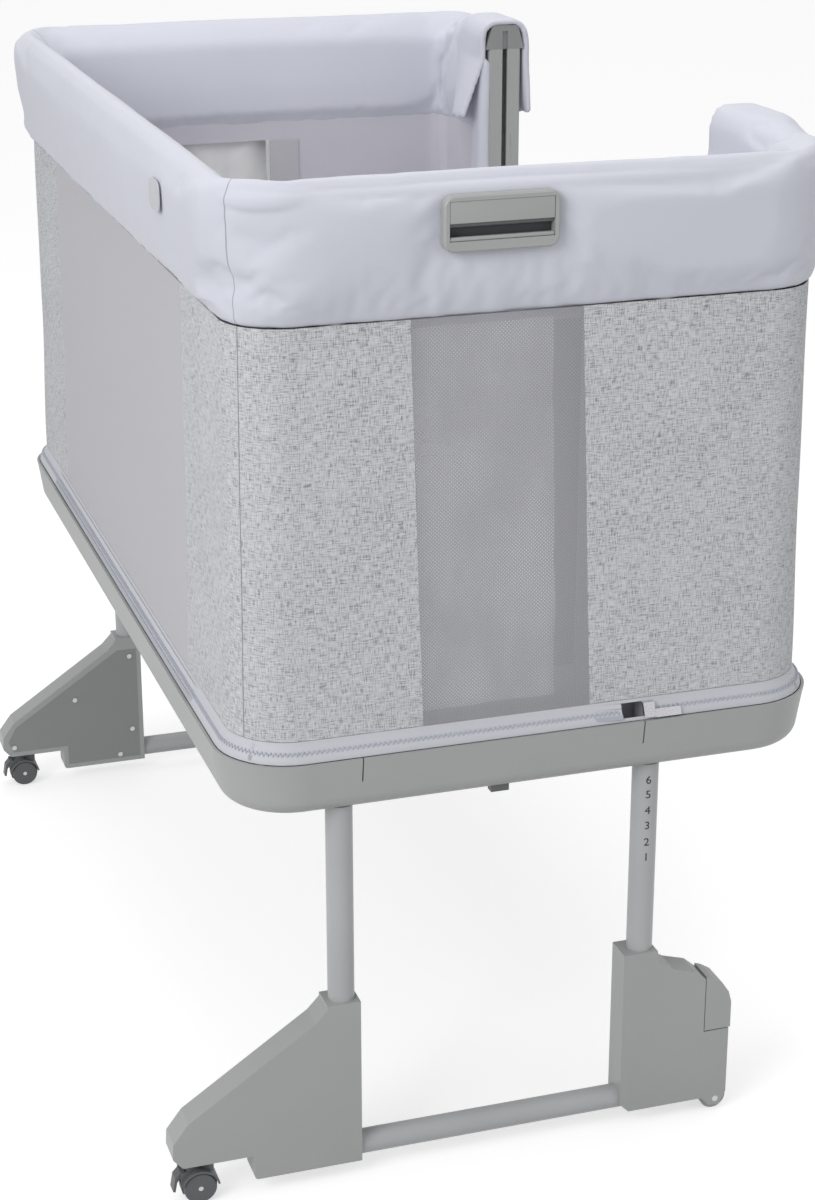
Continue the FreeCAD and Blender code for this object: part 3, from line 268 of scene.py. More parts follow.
def wall(name, insets, cuts=(), rows=12, corner_steps=10):
    """A wall round the tray's outline from the first to the last height, drawn in by insets."""
    low, high = insets[0][0], insets[-1][0]
    made = cube(name, (LEFT, NEAR, low), (RIGHT, FAR, high))
    pick(made, "EDGE", lambda edge: abs(edge.verts[0].co.z - edge.verts[1].co.z) > 0.01)
    bpy.ops.mesh.bevel(offset=TRAY_CORNER, segments=corner_steps, affect="EDGES")
    drop(made, lambda middle: abs(middle.z - low) < 0.0001 or abs(middle.z - high) < 0.0001)
    slice_at(made, 2, span(low, high, rows))
    for axis, place in cuts:
        slice_at(made, axis, [place])
    for point in made.data.vertices:
        hub, _, way = outline_frame(*point.co.xy)
        reach = TRAY_CORNER - level(point.co.z, insets)
        point.co.x, point.co.y = hub.x + way.x * reach, hub.y + way.y * reach
    return made


# ---------------------------------------------------------------- finishes, all worked out in nodes

class Finish:
    """A material under construction: its nodes, its shader and short ways to join them."""

    def __init__(self, name, roughness=0.5, metallic=0.0):
        self.made = bpy.data.materials.new(name)
        self.made.use_nodes = True
        self.tree = self.made.node_tree
        self.shader = self.tree.nodes["Principled BSDF"]
        self.shader.inputs["Roughness"].default_value = roughness
        self.shader.inputs["Metallic"].default_value = metallic

    def node(self, kind, **settings):
        """A node with its sockets and settings filled in by name."""
        made = self.tree.nodes.new(kind)
        for name, setting in settings.items():
            if name in made.inputs:
                made.inputs[name].default_value = setting
            else:
                setattr(made, name, setting)
        return made

    def join(self, out, into):
        """Link one socket to another."""
        self.tree.links.new(out, into)

    def place(self, source, scale=(1, 1, 1), turn=(0, 0, 0)):
        """Object coordinates or a UV map, stretched and turned."""
        if source == "Object":
            out = self.node("ShaderNodeTexCoord").outputs["Object"]
        else:
            out = self.node("ShaderNodeUVMap", uv_map=source).outputs["UV"]
        mapping = self.node("ShaderNodeMapping")
        mapping.inputs["Scale"].default_value = scale
        mapping.inputs["Rotation"].default_value = turn
        self.join(out, mapping.inputs["Vector"])
        return mapping.outputs["Vector"]

    def noise(self, where, scale=1.0, detail=2.0, roughness=0.5):
        """A cloudy grey over these coordinates."""
        made = self.node("ShaderNodeTexNoise", Scale=scale, Detail=detail, Roughness=roughness)
        self.join(where, made.inputs["Vector"])
        return made.outputs["Fac"]

    def wave(self, where, scale, direction):
        """Even bands across one direction of these coordinates."""
        made = self.node("ShaderNodeTexWave", bands_direction=direction, Scale=scale)
        self.join(where, made.inputs["Vector"])
        return made.outputs["Fac"]

    def weave(self, where, scale, how="ADD"):
        """Bands both ways, added or multiplied."""
        return self.sum(self.wave(where, scale, "X"), self.wave(where, scale, "Y"), how)

    def sum(self, first, second, how="ADD"):
        """Two sockets or numbers, added or joined by another sum."""
        made = self.node("ShaderNodeMath", operation=how)
        for slot, item in enumerate((first, second)):
            if isinstance(item, (int, float)):
                made.inputs[slot].default_value = item
            else:
                self.join(item, made.inputs[slot])
        return made.outputs[0]

    def ramp(self, value, stops):
        """Colours or greys along a value."""
        made = self.node("ShaderNodeValToRGB")
        bar = made.color_ramp
        while len(bar.elements) < len(stops):
            bar.elements.new(0.5)
        for element, (place, colour) in zip(bar.elements, stops):
            element.position = place
            element.color = (*colour, 1)
        self.join(value, made.inputs["Fac"])
        return made.outputs["Color"]

    def seams(self, places, width=0.0009):
        """1 on the seams that run up the outline at these places, 0 away from them."""
        split = self.node("ShaderNodeSeparateXYZ")
        self.join(self.node("ShaderNodeUVMap", uv_map="wrap").outputs["UV"], split.inputs["Vector"])
        nearest = None
        for place in places:
            away = self.sum(self.sum(split.outputs["X"], place, "SUBTRACT"), 0, "ABSOLUTE")
            nearest = away if nearest is None else self.sum(nearest, away, "MINIMUM")
        return self.sum(nearest, width, "LESS_THAN")

    def colour(self, out):
        """Give the shader this colour."""
        self.join(out, self.shader.inputs["Base Color"])

    def spread(self, value, **ends):
        """A value's range moved to another, by the names of its ends."""
        made = self.node("ShaderNodeMapRange")
        for name, end in ends.items():
            made.inputs[name.replace("_", " ").title()].default_value = end
        self.join(value, made.inputs["Value"])
        return made.outputs["Result"]

    def rough(self, value, low, high):
        """Let the gloss wander with a value."""
        self.join(self.spread(value, to_min=low, to_max=high), self.shader.inputs["Roughness"])

    def sheen(self, weight, roughness=0.5):
        """The soft edge light of cloth."""
        self.shader.inputs["Sheen Weight"].default_value = weight
        self.shader.inputs["Sheen Roughness"].default_value = roughness

    def bump(self, height, strength, distance, under=None):
        """Raise the surface by a height, over another bump if there is one."""
        made = self.node("ShaderNodeBump", Strength=strength, Distance=distance)
        self.join(height, made.inputs["Height"])
        if under is not None:
            self.join(under, made.inputs["Normal"])
        self.join(made.outputs["Normal"], self.shader.inputs["Normal"])
        return made.outputs["Normal"]


def linear(shade):
    """A colour as the screen shows it, turned into the renderer's values."""
    return tuple(c / 12.92 if c <= 0.04045 else ((c + 0.055) / 1.055) ** 2.4 for c in shade)


def mixed(first, last, share):
    """A value part of the way from the first to the last."""
    return first + (last - first) * share


def toned(shade, factor):
    """A screen colour made lighter or darker by a factor, in the renderer's values."""
    return tuple(min(1.0, c * factor) for c in linear(shade))


def moulded(name, shade, roughness=0.45, grain=900.0, depth=0.00006):
    """Moulded plastic with a fine eroded grain and slight unevenness in tone and gloss."""
    made = Finish(name, roughness)
    where = made.place("Object")
    cloud = made.noise(where, 6.0, 3.0)
    made.colour(made.ramp(cloud, [(0.3, toned(shade, 0.965)), (0.7, toned(shade, 1.03))]))
    fine = made.noise(where, grain, 2.0)
    made.rough(cloud, roughness - 0.05, roughness + 0.06)
    made.bump(fine, 0.35, depth)
    return made.made


def painted(name, shade):
    """Powder-coated tube: even, slightly orange-peeled."""
    made = Finish(name, 0.38)
    where = made.place("Object")
    peel = made.noise(where, 260.0, 1.5)
    cloud = made.noise(where, 9.0, 2.0)
    made.colour(made.ramp(cloud, [(0.3, toned(shade, 0.97)), (0.7, toned(shade, 1.03))]))
    made.bump(peel, 0.25, 0.0001)
    made.rough(peel, 0.33, 0.43)
    return made.made


def plain_steel(name, shade=(0.78, 0.78, 0.78), roughness=0.3):
    """Bare metal with fine scratches."""
    made = Finish(name, roughness, 1.0)
    where = made.place("Object", (1, 1, 6))
    scratch = made.noise(where, 400.0, 2.0)
    made.colour(made.ramp(scratch, [(0.3, toned(shade, 0.9)), (0.7, toned(shade, 1.05))]))
    made.rough(scratch, roughness - 0.06, roughness + 0.08)
    return made.made


def linen(name, shade, dark):
    """Heather cloth: pale and dark slubs running both ways, with a plain weave."""
    made = Finish(name, 0.85)
    across = made.noise(made.place("wrap", (75, 820, 1)), 1.0, 2.0, 0.55)
    upward = made.noise(made.place("wrap", (820, 90, 1)), 1.0, 2.0, 0.55)
    cloud = made.noise(made.place("wrap", (14, 14, 1)), 1.0, 3.0)
    threads = made.sum(made.sum(across, upward), made.sum(cloud, 0.14, "MULTIPLY"))
    seam_groove_and_shade = made.seams(CORNER_SEAMS)
    contrast = made.spread(threads, from_min=0.75, from_max=1.4)
    # Painted shade: the corner seams are subtracted from the colour, pulling it towards the dark slub colour
    # as the shade in their grooves.
    made.colour(made.ramp(made.sum(contrast, seam_groove_and_shade, "SUBTRACT"), [
        (0.14, toned(dark, 1.0)), (0.40, toned(shade, 0.86)), (0.58, toned(shade, 1.0)),
        (0.85, toned(shade, 1.12))]))
    relief = made.sum(made.weave(made.place("wrap"), 560.0), made.sum(threads, 1.5, "MULTIPLY"))
    made.bump(made.sum(relief, made.sum(seam_groove_and_shade, 6, "MULTIPLY"), "SUBTRACT"), 0.55, 0.00035)
    made.sheen(0.15, 0.6)
    return made.made


def smooth_cloth(name, shade, source="wrap", pucker=0.0, seams=()):
    """Close-woven polyester, with puckers where it is gathered and bumped grooves where it is sewn, the
    grooves' shade painted darker into the colour.
    """
    made = Finish(name, 0.72)
    cloud = made.noise(made.place(source, (5, 5, 5)), 1.0, 3.0)
    weave = made.weave(made.place(source), 600.0)
    if seams:
        sewn_groove_and_shade = made.seams(seams)
        # Painted shade: the seam lines pull the colour down to the ramp's darkest stop, 0.60, as the shade
        # in their grooves.
        cloud = made.sum(cloud, sewn_groove_and_shade, "SUBTRACT")
        weave = made.sum(weave, made.sum(sewn_groove_and_shade, 8, "MULTIPLY"), "SUBTRACT")
    made.colour(made.ramp(cloud, [
        (0.0, toned(shade, 0.60)), (0.1, toned(shade, 0.975)), (0.7, toned(shade, 1.02))]))
    normal = made.bump(weave, 0.18, 0.0001)
    if pucker:
        drape = made.noise(made.place(source, (38, 3.0, 38)), 1.0, 2.0)
        made.bump(drape, 0.8, pucker, normal)
    made.sheen(0.2)
    return made.made


def crumpled(name, shade):
    """Thin cloth with bumped folds, its hollows painted darker as their shade."""
    made = Finish(name, 0.7)
    folds_and_shade = made.noise(made.place("Object", (16, 4, 9), (0, 0.5, 0)), 1.0, 3.0)
    # Painted shade: low places in the fold noise get a darker colour, standing for the shade in the hollows.
    made.colour(made.ramp(folds_and_shade, [
        (0.38, toned(shade, 0.80)), (0.52, toned(shade, 0.93)), (0.66, toned(shade, 1.0))]))
    made.bump(folds_and_shade, 0.8, 0.006)
    return made.made


WAVE_BAND = math.pi / 10  # the width of one band of a wave texture whose scale is 1


def net(name, shade, thread, pitch, opening, clear):
    """Open mesh: threads both ways on the slant, see-through between them."""
    made = Finish(name, 0.8)
    slant, soft_edge = 0.785, 0.12
    cells = made.weave(made.place("wrap", (1, 1, 1), (0, 0, slant)), 2 * WAVE_BAND / pitch, "MULTIPLY")
    hole = made.ramp(cells, [(opening - soft_edge, (0, 0, 0)), (opening + soft_edge, (1, 1, 1))])
    made.colour(made.ramp(cells, [(0.15, toned(thread, 1.0)), (0.55, toned(shade, 1.0))]))
    made.join(made.spread(hole, to_min=1.0, to_max=clear), made.shader.inputs["Alpha"])
    made.bump(cells, 0.3, 0.0002)
    made.sheen(0.15)
    return made.made


# ---------------------------------------------------------------- what a user may change

def tint(name, description, default):
    """A colour that a user may change."""
    return bpy.props.FloatVectorProperty(
        name=name, description=description, subtype="COLOR_GAMMA", default=default, min=0, max=1)


class CribColours(bpy.types.PropertyGroup):
    """Colours of the crib's finishes, as the screen shows them."""

    plastic: tint("Plastic", "Tray, handles and feet", (0.638, 0.645, 0.642))
    tubes: tint("Tubes", "Posts and crossbars", (0.672, 0.678, 0.684))
    cover: tint("Foot cover", "Inner plates of the feet and the guide heads", (0.545, 0.550, 0.550))
    dark: tint("Dark plastic", "Casters, latches and bushes", (0.36, 0.37, 0.38))
    rim: tint("Rim cloth", "Padded rim", (0.800, 0.808, 0.850))
    lining: tint("Lining", "Inner wall", (0.790, 0.785, 0.820))
    linen: tint("Linen", "Heather wall panels", (0.835, 0.840, 0.855))
    slub: tint("Linen slubs", "Dark threads of the heather cloth", (0.545, 0.552, 0.570))
    mesh: tint("Window mesh", "Open mesh of the end windows", (0.740, 0.740, 0.755))
    side: tint("Side mesh", "Fine mesh of the long sides", (0.800, 0.795, 0.820))
    tape: tint("Zip tape", "Band and tape of the zip", (0.760, 0.765, 0.790))


class CribSizes(bpy.types.PropertyGroup):
    """Sizes of the dressing."""

    linen_thickness: bpy.props.FloatProperty(
        name="Linen thickness", description="Thickness of the wall cloth", unit="LENGTH",
        default=0.0014, min=0.0005, max=0.003)
    rim_voxel: bpy.props.FloatProperty(
        name="Padding detail", description="Edge length of the padding's cloth", unit="LENGTH",
        default=0.0075, min=0.004, max=0.01)
    puff: bpy.props.FloatProperty(
        name="Padding pressure", description="How firmly the padding fills its cloth",
        default=4.0, min=0.0, max=10.0)
    floor_size: bpy.props.FloatProperty(
        name="Floor size", description="Width of the studio floor", unit="LENGTH",
        default=30.0, min=5.0, max=60.0)


FINISHES = {}


def finish(name):
    """A finish by its short name."""
    return FINISHES[name]


def mix_finishes(colours):
    """Make each finish once."""
    if FINISHES:
        return
    FINISHES.update(
        plastic=moulded("moulded plastic", colours.plastic),
        foot=moulded("foot housing plastic", colours.plastic, 0.42),
        cover=moulded("cover plate plastic", colours.cover, 0.5),
        # Painted shade: the grips get the dark plastic so that they read as the shade inside the handles'
        # slots.
        grip=moulded("grip plastic in painted slot shade", colours.dark, 0.4),
        dark=moulded("dark plastic", colours.dark, 0.45),
        # Painted shadow: a dark sheet that stands for the shade at the back of each handle's slot.
        shadow=moulded("painted slot shadow", (0.25, 0.26, 0.27), 0.6),
        tread=moulded("caster tread", colours.dark, 0.6),
        tubes=painted("powder coated tube", colours.tubes),
        steel=plain_steel("plain steel"),
        zinc=plain_steel("zip metal", (0.86, 0.86, 0.88), 0.25),
        rim=smooth_cloth("rim cloth", colours.rim, seams=CORNER_SEAMS),
        lining=smooth_cloth("lining cloth", colours.lining, pucker=0.0012),
        linen=linen("heather linen", colours.linen, colours.slub),
        net=net("window mesh", colours.mesh, (0.74, 0.74, 0.76), 0.0060, 0.11, 0.06),
        side=net("side mesh", colours.side, (0.72, 0.72, 0.74), 0.0018, 0.62, 0.80),
        flap=crumpled("thin white cloth", (0.97, 0.97, 0.97)),
        tape=smooth_cloth("zip band cloth", colours.tape),
        zipline=smooth_cloth("zip edge cloth", (0.66, 0.67, 0.70)),
        sleeve=smooth_cloth("sleeve cloth", colours.rim, "Object"),
        sleeve_net=smooth_cloth("gathered net", colours.side, "Object"),
        tag=moulded("plain tag", (0.74, 0.745, 0.765), 0.4, 300.0, 0.00002),
        teeth=moulded("zip teeth", (0.70, 0.72, 0.76), 0.35, 300.0, 0.0),
        digits=moulded("printed digits", (0.20, 0.21, 0.22), 0.6, 300.0, 0.0),
        ticking=smooth_cloth("mattress cover", (0.93, 0.93, 0.94), "Object"),
        board=moulded("fibre board", (0.72, 0.62, 0.48), 0.7),
    )


NODE_FINISHES = {
    "base_tray": "plastic", "base_frame": "tubes", "mattress_board": "board", "post_bushes": "dark",
    "rim_tube": "tubes", "guide_caps": "cover", "uprights": "tubes", "guide_post": "plastic",
    "handle_bezel": "plastic", "handle_grip": "grip", "release_latch": "dark", "post_left": "tubes",
    "post_right": "tubes", "crossbar": "tubes", "outer_foot": "foot", "outer_cover": "cover",
    "foot_screws": "steel", "bed_foot": "foot", "stabiliser": "foot", "stabiliser_pin": "steel",
    "caster_hood": "dark", "caster_axle": "steel", "caster_wheels": "tread", "brake_pedal": "dark",
    "drop_side_rail": "tubes", "drop_side_shoes": "dark", "zip_slider": "zinc", "zip_pull": "zinc",
}


class CRIB_OT_hardware(bpy.types.Operator):
    """Give every rigid piece of the frame its plastic, paint or metal"""

    bl_idname = "crib.hardware"
    bl_label = "Finish the hardware"

    def execute(self, context):
        mix_finishes(context.scene.crib_colours)
        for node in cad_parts:
            plain = node.split("_", 1)[1] if node.startswith(("near_", "far_")) else node
            if plain in NODE_FINISHES:
                solid = bpy.data.objects[node]
                solid.data.materials.clear()
                solid.data.materials.append(finish(NODE_FINISHES[plain]))
        return {"FINISHED"}


# ---------------------------------------------------------------- the studio

LENS = 73.34
CAMERA_AT = (-0.9014, -3.0704, 1.6994)
CAMERA_YAW, CAMERA_PITCH, CAMERA_ROLL = 0.3124, 0.3595, 0.0013


def camera_turn():
    """The camera's turn from its yaw, its downward pitch and its roll."""
    ahead = Vector((math.sin(CAMERA_YAW) * math.cos(CAMERA_PITCH),
                    math.cos(CAMERA_YAW) * math.cos(CAMERA_PITCH), -math.sin(CAMERA_PITCH)))
    level_right = Vector((math.cos(CAMERA_YAW), -math.sin(CAMERA_YAW), 0))
    level_down = ahead.cross(level_right)
    right = math.cos(CAMERA_ROLL) * level_right + math.sin(CAMERA_ROLL) * level_down
    down = -math.sin(CAMERA_ROLL) * level_right + math.cos(CAMERA_ROLL) * level_down
    return Matrix((right, -down, -ahead)).transposed()


def seen_by(tree, *rays):
    """A socket that is 1 for these kinds of ray and 0 for the rest."""
    path = tree.nodes.new("ShaderNodeLightPath")
    seen = path.outputs[rays[0]]
    for ray in rays[1:]:
        either = tree.nodes.new("ShaderNodeMath")
        either.operation = "MAXIMUM"
        tree.links.new(seen, either.inputs[0])
        tree.links.new(path.outputs[ray], either.inputs[1])
        seen = either.outputs[0]
    return seen


def seen_as_white(made, grey, glow):
    """A floor that catches shadows, lifted towards white for the eye and for reflections."""
    tree = made.node_tree
    shader = tree.nodes["Principled BSDF"]
    shader.inputs["Base Color"].default_value = (grey, grey, grey, 1)
    shader.inputs["Roughness"].default_value = 0.9
    lift = tree.nodes.new("ShaderNodeMath")
    lift.operation = "MULTIPLY"
    lift.inputs[1].default_value = glow
    seen = seen_by(tree, "Is Camera Ray", "Is Glossy Ray", "Is Transmission Ray")
    tree.links.new(seen, lift.inputs[0])
    shader.inputs["Emission Color"].default_value = (1, 1, 1, 1)
    tree.links.new(lift.outputs[0], shader.inputs["Emission Strength"])


def pale_world(tree, lighting, seen_level):
    """A white surrounding that is brighter to the eye than it is as a light."""
    back = tree.nodes["Background"]
    strength = tree.nodes.new("ShaderNodeMapRange")
    strength.inputs["To Min"].default_value = lighting
    strength.inputs["To Max"].default_value = seen_level
    seen = seen_by(tree, "Is Camera Ray", "Is Transmission Ray")
    tree.links.new(seen, strength.inputs["Value"])
    tree.links.new(strength.outputs["Result"], back.inputs["Strength"])
    back.inputs["Color"].default_value = (1, 1, 1, 1)


# Each lamp's name, place, width and power.
LAMPS = (
    ("key", (-3.4, -2.6, 3.0), 2.4, 96.0),
    ("fill", (3.0, -3.2, 2.4), 2.6, 14.0),
    ("top", (0.2, 0.4, 3.6), 2.2, 26.0),
)
LIT_MIDDLE = Vector((0, 0, 0.7))


class CRIB_OT_stage(bpy.types.Operator):
    """Lay the pale floor, hang the soft lights and set the camera"""

    bl_idname = "crib.stage"
    bl_label = "Set the studio"

    def execute(self, context):
        sizes = context.scene.crib_sizes
        fresh()
        bpy.ops.mesh.primitive_plane_add(size=sizes.floor_size, location=(0, 6, -0.0005))
        floor = named("studio_floor")
        paper = bpy.data.materials.new("studio paper")
        paper.use_nodes = True
        seen_as_white(paper, 0.60, 0.56)
        floor.data.materials.append(paper)

        world = bpy.data.worlds.new("studio")
        world.use_nodes = True
        context.scene.world = world
        pale_world(world.node_tree, 0.62, 1.0)

        for name, place, size, power in LAMPS:
            fresh()
            bpy.ops.object.light_add(type="AREA", location=place)
            lamp = context.object
            lamp.name = name + "_light"
            lamp.data.size = size
            lamp.data.energy = power
            lamp.rotation_euler = (LIT_MIDDLE - Vector(place)).to_track_quat("-Z", "Y").to_euler()

        fresh()
        bpy.ops.object.camera_add(location=CAMERA_AT)
        camera = context.object
        camera.name = "photo_camera"
        camera.rotation_euler = camera_turn().to_euler()
        camera.data.sensor_fit = "VERTICAL"
        camera.data.sensor_height = 36.0
        camera.data.lens = LENS
        camera.data.clip_end = 60.0
        context.scene.camera = camera
        context.scene.view_settings.view_transform = "Standard"
        return {"FINISHED"}


# ---------------------------------------------------------------- cloth that is filled or stretched

BODY = "basket"
# The outer walls' heights with their insets from the tray's outline.
WALL_LOW, WALL_HIGH = 0.586, 1.059
OUTER_LEVELS = ((WALL_LOW, 0.0160), (0.800, 0.0200), (WALL_HIGH, 0.0220))
WALL_ROWS = 14
SIDE_MESH = 0.391
# Each window edge's x at the top and at the bottom, and where it is cut before it is set to lean.
WINDOW = ((-0.112, -0.099), (0.088, 0.105))
WINDOW_LEFT, WINDOW_RIGHT = (sum(edge) / 2 for edge in WINDOW)
NET_THICKNESS, SIDE_NET_THICKNESS = 0.0007, 0.0009
FILL_FRAMES = 20


def filled(piece, voxel, pressure, reach, slack=0.0, held=None):
    """Blow up a closed shape as cloth, with no point going further than its reach."""
    finish_with(piece, "REMESH", mode="VOXEL", voxel_size=voxel)
    start = [point.co.copy() for point in piece.data.vertices]
    choose(piece)
    pins = piece.vertex_groups.new(name="held")
    if held:
        pins.add([i for i, place in enumerate(start) if held(place)], 1.0, "REPLACE")
    cloth = piece.modifiers.new("Cloth", "CLOTH")
    cloth.settings.quality = 4
    cloth.settings.use_pressure = True
    cloth.settings.uniform_pressure_force = pressure
    cloth.settings.effector_weights.gravity = 0
    cloth.settings.shrink_min = -slack
    cloth.settings.vertex_group_mass = "held" if held else ""
    cloth.collision_settings.use_collision = False
    cloth.point_cache.frame_start = 1
    cloth.point_cache.frame_end = FILL_FRAMES
    for step in range(1, FILL_FRAMES + 1):
        bpy.context.scene.frame_set(step)
    bpy.ops.object.modifier_apply(modifier=cloth.name)
    bpy.context.scene.frame_set(1)
    for point, first in zip(piece.data.vertices, start):
        move = point.co - first
        if move.length > reach:
            point.co = first + move.normalized() * reach
    return piece


def ripple(walk, height, tightness=1.0):
    """A gathered seam's puckers at a place round the outline, from -1 to 1."""
    spot = Vector((walk * 34 * tightness, height * 3.0, 4.2))
    return noise.noise(spot) + 0.6 * noise.noise(spot * 2.1)


def end_wall(name, keep, sign):
    """A stretch of the wall at one end, with its window's edges leaning as they are sewn."""
    made = wall(name, OUTER_LEVELS, [(0, WINDOW_LEFT), (0, WINDOW_RIGHT), (1, sign * SIDE_MESH),
                                     (1, sign * OPENING)], WALL_ROWS)
    drop(made, lambda middle: not keep(middle))
    for point in made.data.vertices:
        share = (WALL_HIGH - point.co.z) / (WALL_HIGH - WALL_LOW)
        for middle, (top, bottom) in zip((WINDOW_LEFT, WINDOW_RIGHT), WINDOW):
            if abs(point.co.x - middle) < 0.001 and abs(point.co.y) > END_WALL:
                point.co.x = top + (bottom - top) * share
    return made


def stretched(piece, finish_name, slot, thickness, node):
    outward_faces(piece)
    finish_with(piece, "SUBSURF", subdivision_type="SIMPLE", levels=1, render_levels=1)
    sewn_reach, unevenness = 0.06, 0.0016
    for point in piece.data.vertices:
        way = outline_frame(*point.co.xy)[2]
        slack = min(1.0, (point.co.z - WALL_LOW) / sewn_reach, (WALL_HIGH - point.co.z) / sewn_reach)
        bulge = noise.noise(Vector((girth(*point.co.xy) * 5.5, point.co.z * 4.0, 1.7)))
        nudge(point, way, bulge * unevenness * slack)
    finish_with(piece, "SOLIDIFY", thickness=thickness, offset=-1)
    wrap_map(piece)
    smooth(piece, 50)
    placed(piece, BODY, finish(finish_name), slot, node)


def outward_faces(piece):
    """Turn an open wall's faces away from the crib's middle."""
    pick(piece, "FACE", lambda face: face.normal.xy.dot(
        outline_frame(*face.calc_center_median().xy)[2]) < 0)
    bpy.ops.mesh.flip_normals()
    fresh()


class CRIB_OT_walls(bpy.types.Operator):
    """Stretch the linen ends, their mesh windows and the fine mesh of the closed side"""

    bl_idname = "crib.walls"
    bl_label = "Stretch the walls"

    def execute(self, context):
        thickness = context.scene.crib_sizes.linen_thickness
        for end, sign in (("near", -1), ("far", 1)):
            def of_window(middle):
                return WINDOW_LEFT < middle.x < WINDOW_RIGHT and middle.y * sign > END_WALL

            def of_linen(middle):
                past = middle.y * sign > (SIDE_MESH if middle.x < 0 else OPENING)
                return past and not WINDOW_LEFT < middle.x < WINDOW_RIGHT

            linen_cloth = end_wall(end + "_linen_walls", of_linen, sign)
            stretched(linen_cloth, "linen", "linen_cloth", thickness, end + "_linen")
            window = end_wall(end + "_window_net", of_window, sign)
            stretched(window, "net", "mesh_cloth", NET_THICKNESS, end + "_mesh_window")
        side = wall("left_side_net", OUTER_LEVELS, [(1, -SIDE_MESH), (1, SIDE_MESH)], WALL_ROWS)
        drop(side, lambda middle: middle.x > 0 or abs(middle.y) > SIDE_MESH)
        slice_at(side, 1, span(-SIDE_MESH, SIDE_MESH, 18))
        stretched(side, "side", "side_mesh", SIDE_NET_THICKNESS, "left_mesh_side")
        return {"FINISHED"}


# ---------------------------------------------------------------- the padded rim

# The rim's section as height and inset, from its outer hem over the crown and back under itself.
RIM_SECTION = (
    (1.0590, 0.0200), (1.0850, 0.0135), (1.1300, 0.0085), (1.1850, 0.0050), (1.2100, 0.0060),
    (1.2215, 0.0110), (1.2240, 0.0200), (1.2215, 0.0300), (1.2120, 0.0400), (1.1880, 0.0580),
    (1.1200, 0.0640), (1.0680, 0.0655), (1.0590, 0.0600), (1.0580, 0.0370), (1.0590, 0.0200),
)
GUIDE_BACK = 0.432
HANDLE_LOW, HANDLE_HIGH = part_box("near_handle_bezel")
TUBE_RADIUS, TUBE_INSET = 0.009, 0.0195
TUBE_ROOM = 0.0125


def near_handle(place, margin):
    """Whether a point lies on or round a handle's seat."""
    inner_face = 0.62
    return (HANDLE_LOW[0] - margin < place.x < HANDLE_HIGH[0] + margin
            and HANDLE_LOW[2] - margin < place.z < HANDLE_HIGH[2] + margin
            and abs(place.y) > inner_face)


def on_section(share):
    """Height and inset at a share of the way round the rim's section."""
    place = share * (len(RIM_SECTION) - 1)
    step = min(int(place + 0.0001), len(RIM_SECTION) - 2)
    rest = place - step
    return [a + (b - a) * rest for a, b in zip(RIM_SECTION[step], RIM_SECTION[step + 1])]


def fade(distance, reach):
    """1 up to a seam and falling away past it."""
    return math.exp(-max(0.0, distance) / reach)


def pucker_rim(piece):
    """Gather the rim's cloth at its hem and its crown, most of all in the middle of each end."""
    hem, crown, outer_band = 1.060, 1.222, 0.030
    for point in piece.data.vertices:
        _, reach, way = outline_frame(*point.co.xy)
        walk = girth(*point.co.xy)
        side = 1 if reach > TRAY_CORNER - outer_band else -1
        on_end = 1.0 if abs(point.co.y) < 0.6 else 0.45 + 0.8 * math.exp(-(point.co.x / 0.19) ** 2)
        at_hem = 0.0021 * fade(point.co.z - hem, 0.032) * on_end
        at_crown = 0.0010 * fade(crown - point.co.z, 0.016)
        depth = (at_hem + at_crown) * ripple(walk, point.co.z)
        depth += 0.0016 * noise.noise(Vector((walk * 7, point.co.z * 9, 8.0)))
        depth *= 0.25 if near_handle(point.co, 0.004) else 1.0
        nudge(point, way, depth * side)


def clear_of_tube(piece):
    """Lift the cloth off the steel tube that runs inside the rim."""
    tube_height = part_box("rim_tube")[1][2] - TUBE_RADIUS
    for point in piece.data.vertices:
        hub, reach, way = outline_frame(*point.co.xy)
        away = Vector((TRAY_CORNER - reach - TUBE_INSET, point.co.z - tube_height))
        if 0 < away.length < TUBE_ROOM:
            away = away.normalized() * TUBE_ROOM
            flat = hub + way * (TRAY_CORNER - TUBE_INSET - away.x)
            point.co = (flat.x, flat.y, tube_height + away.y)


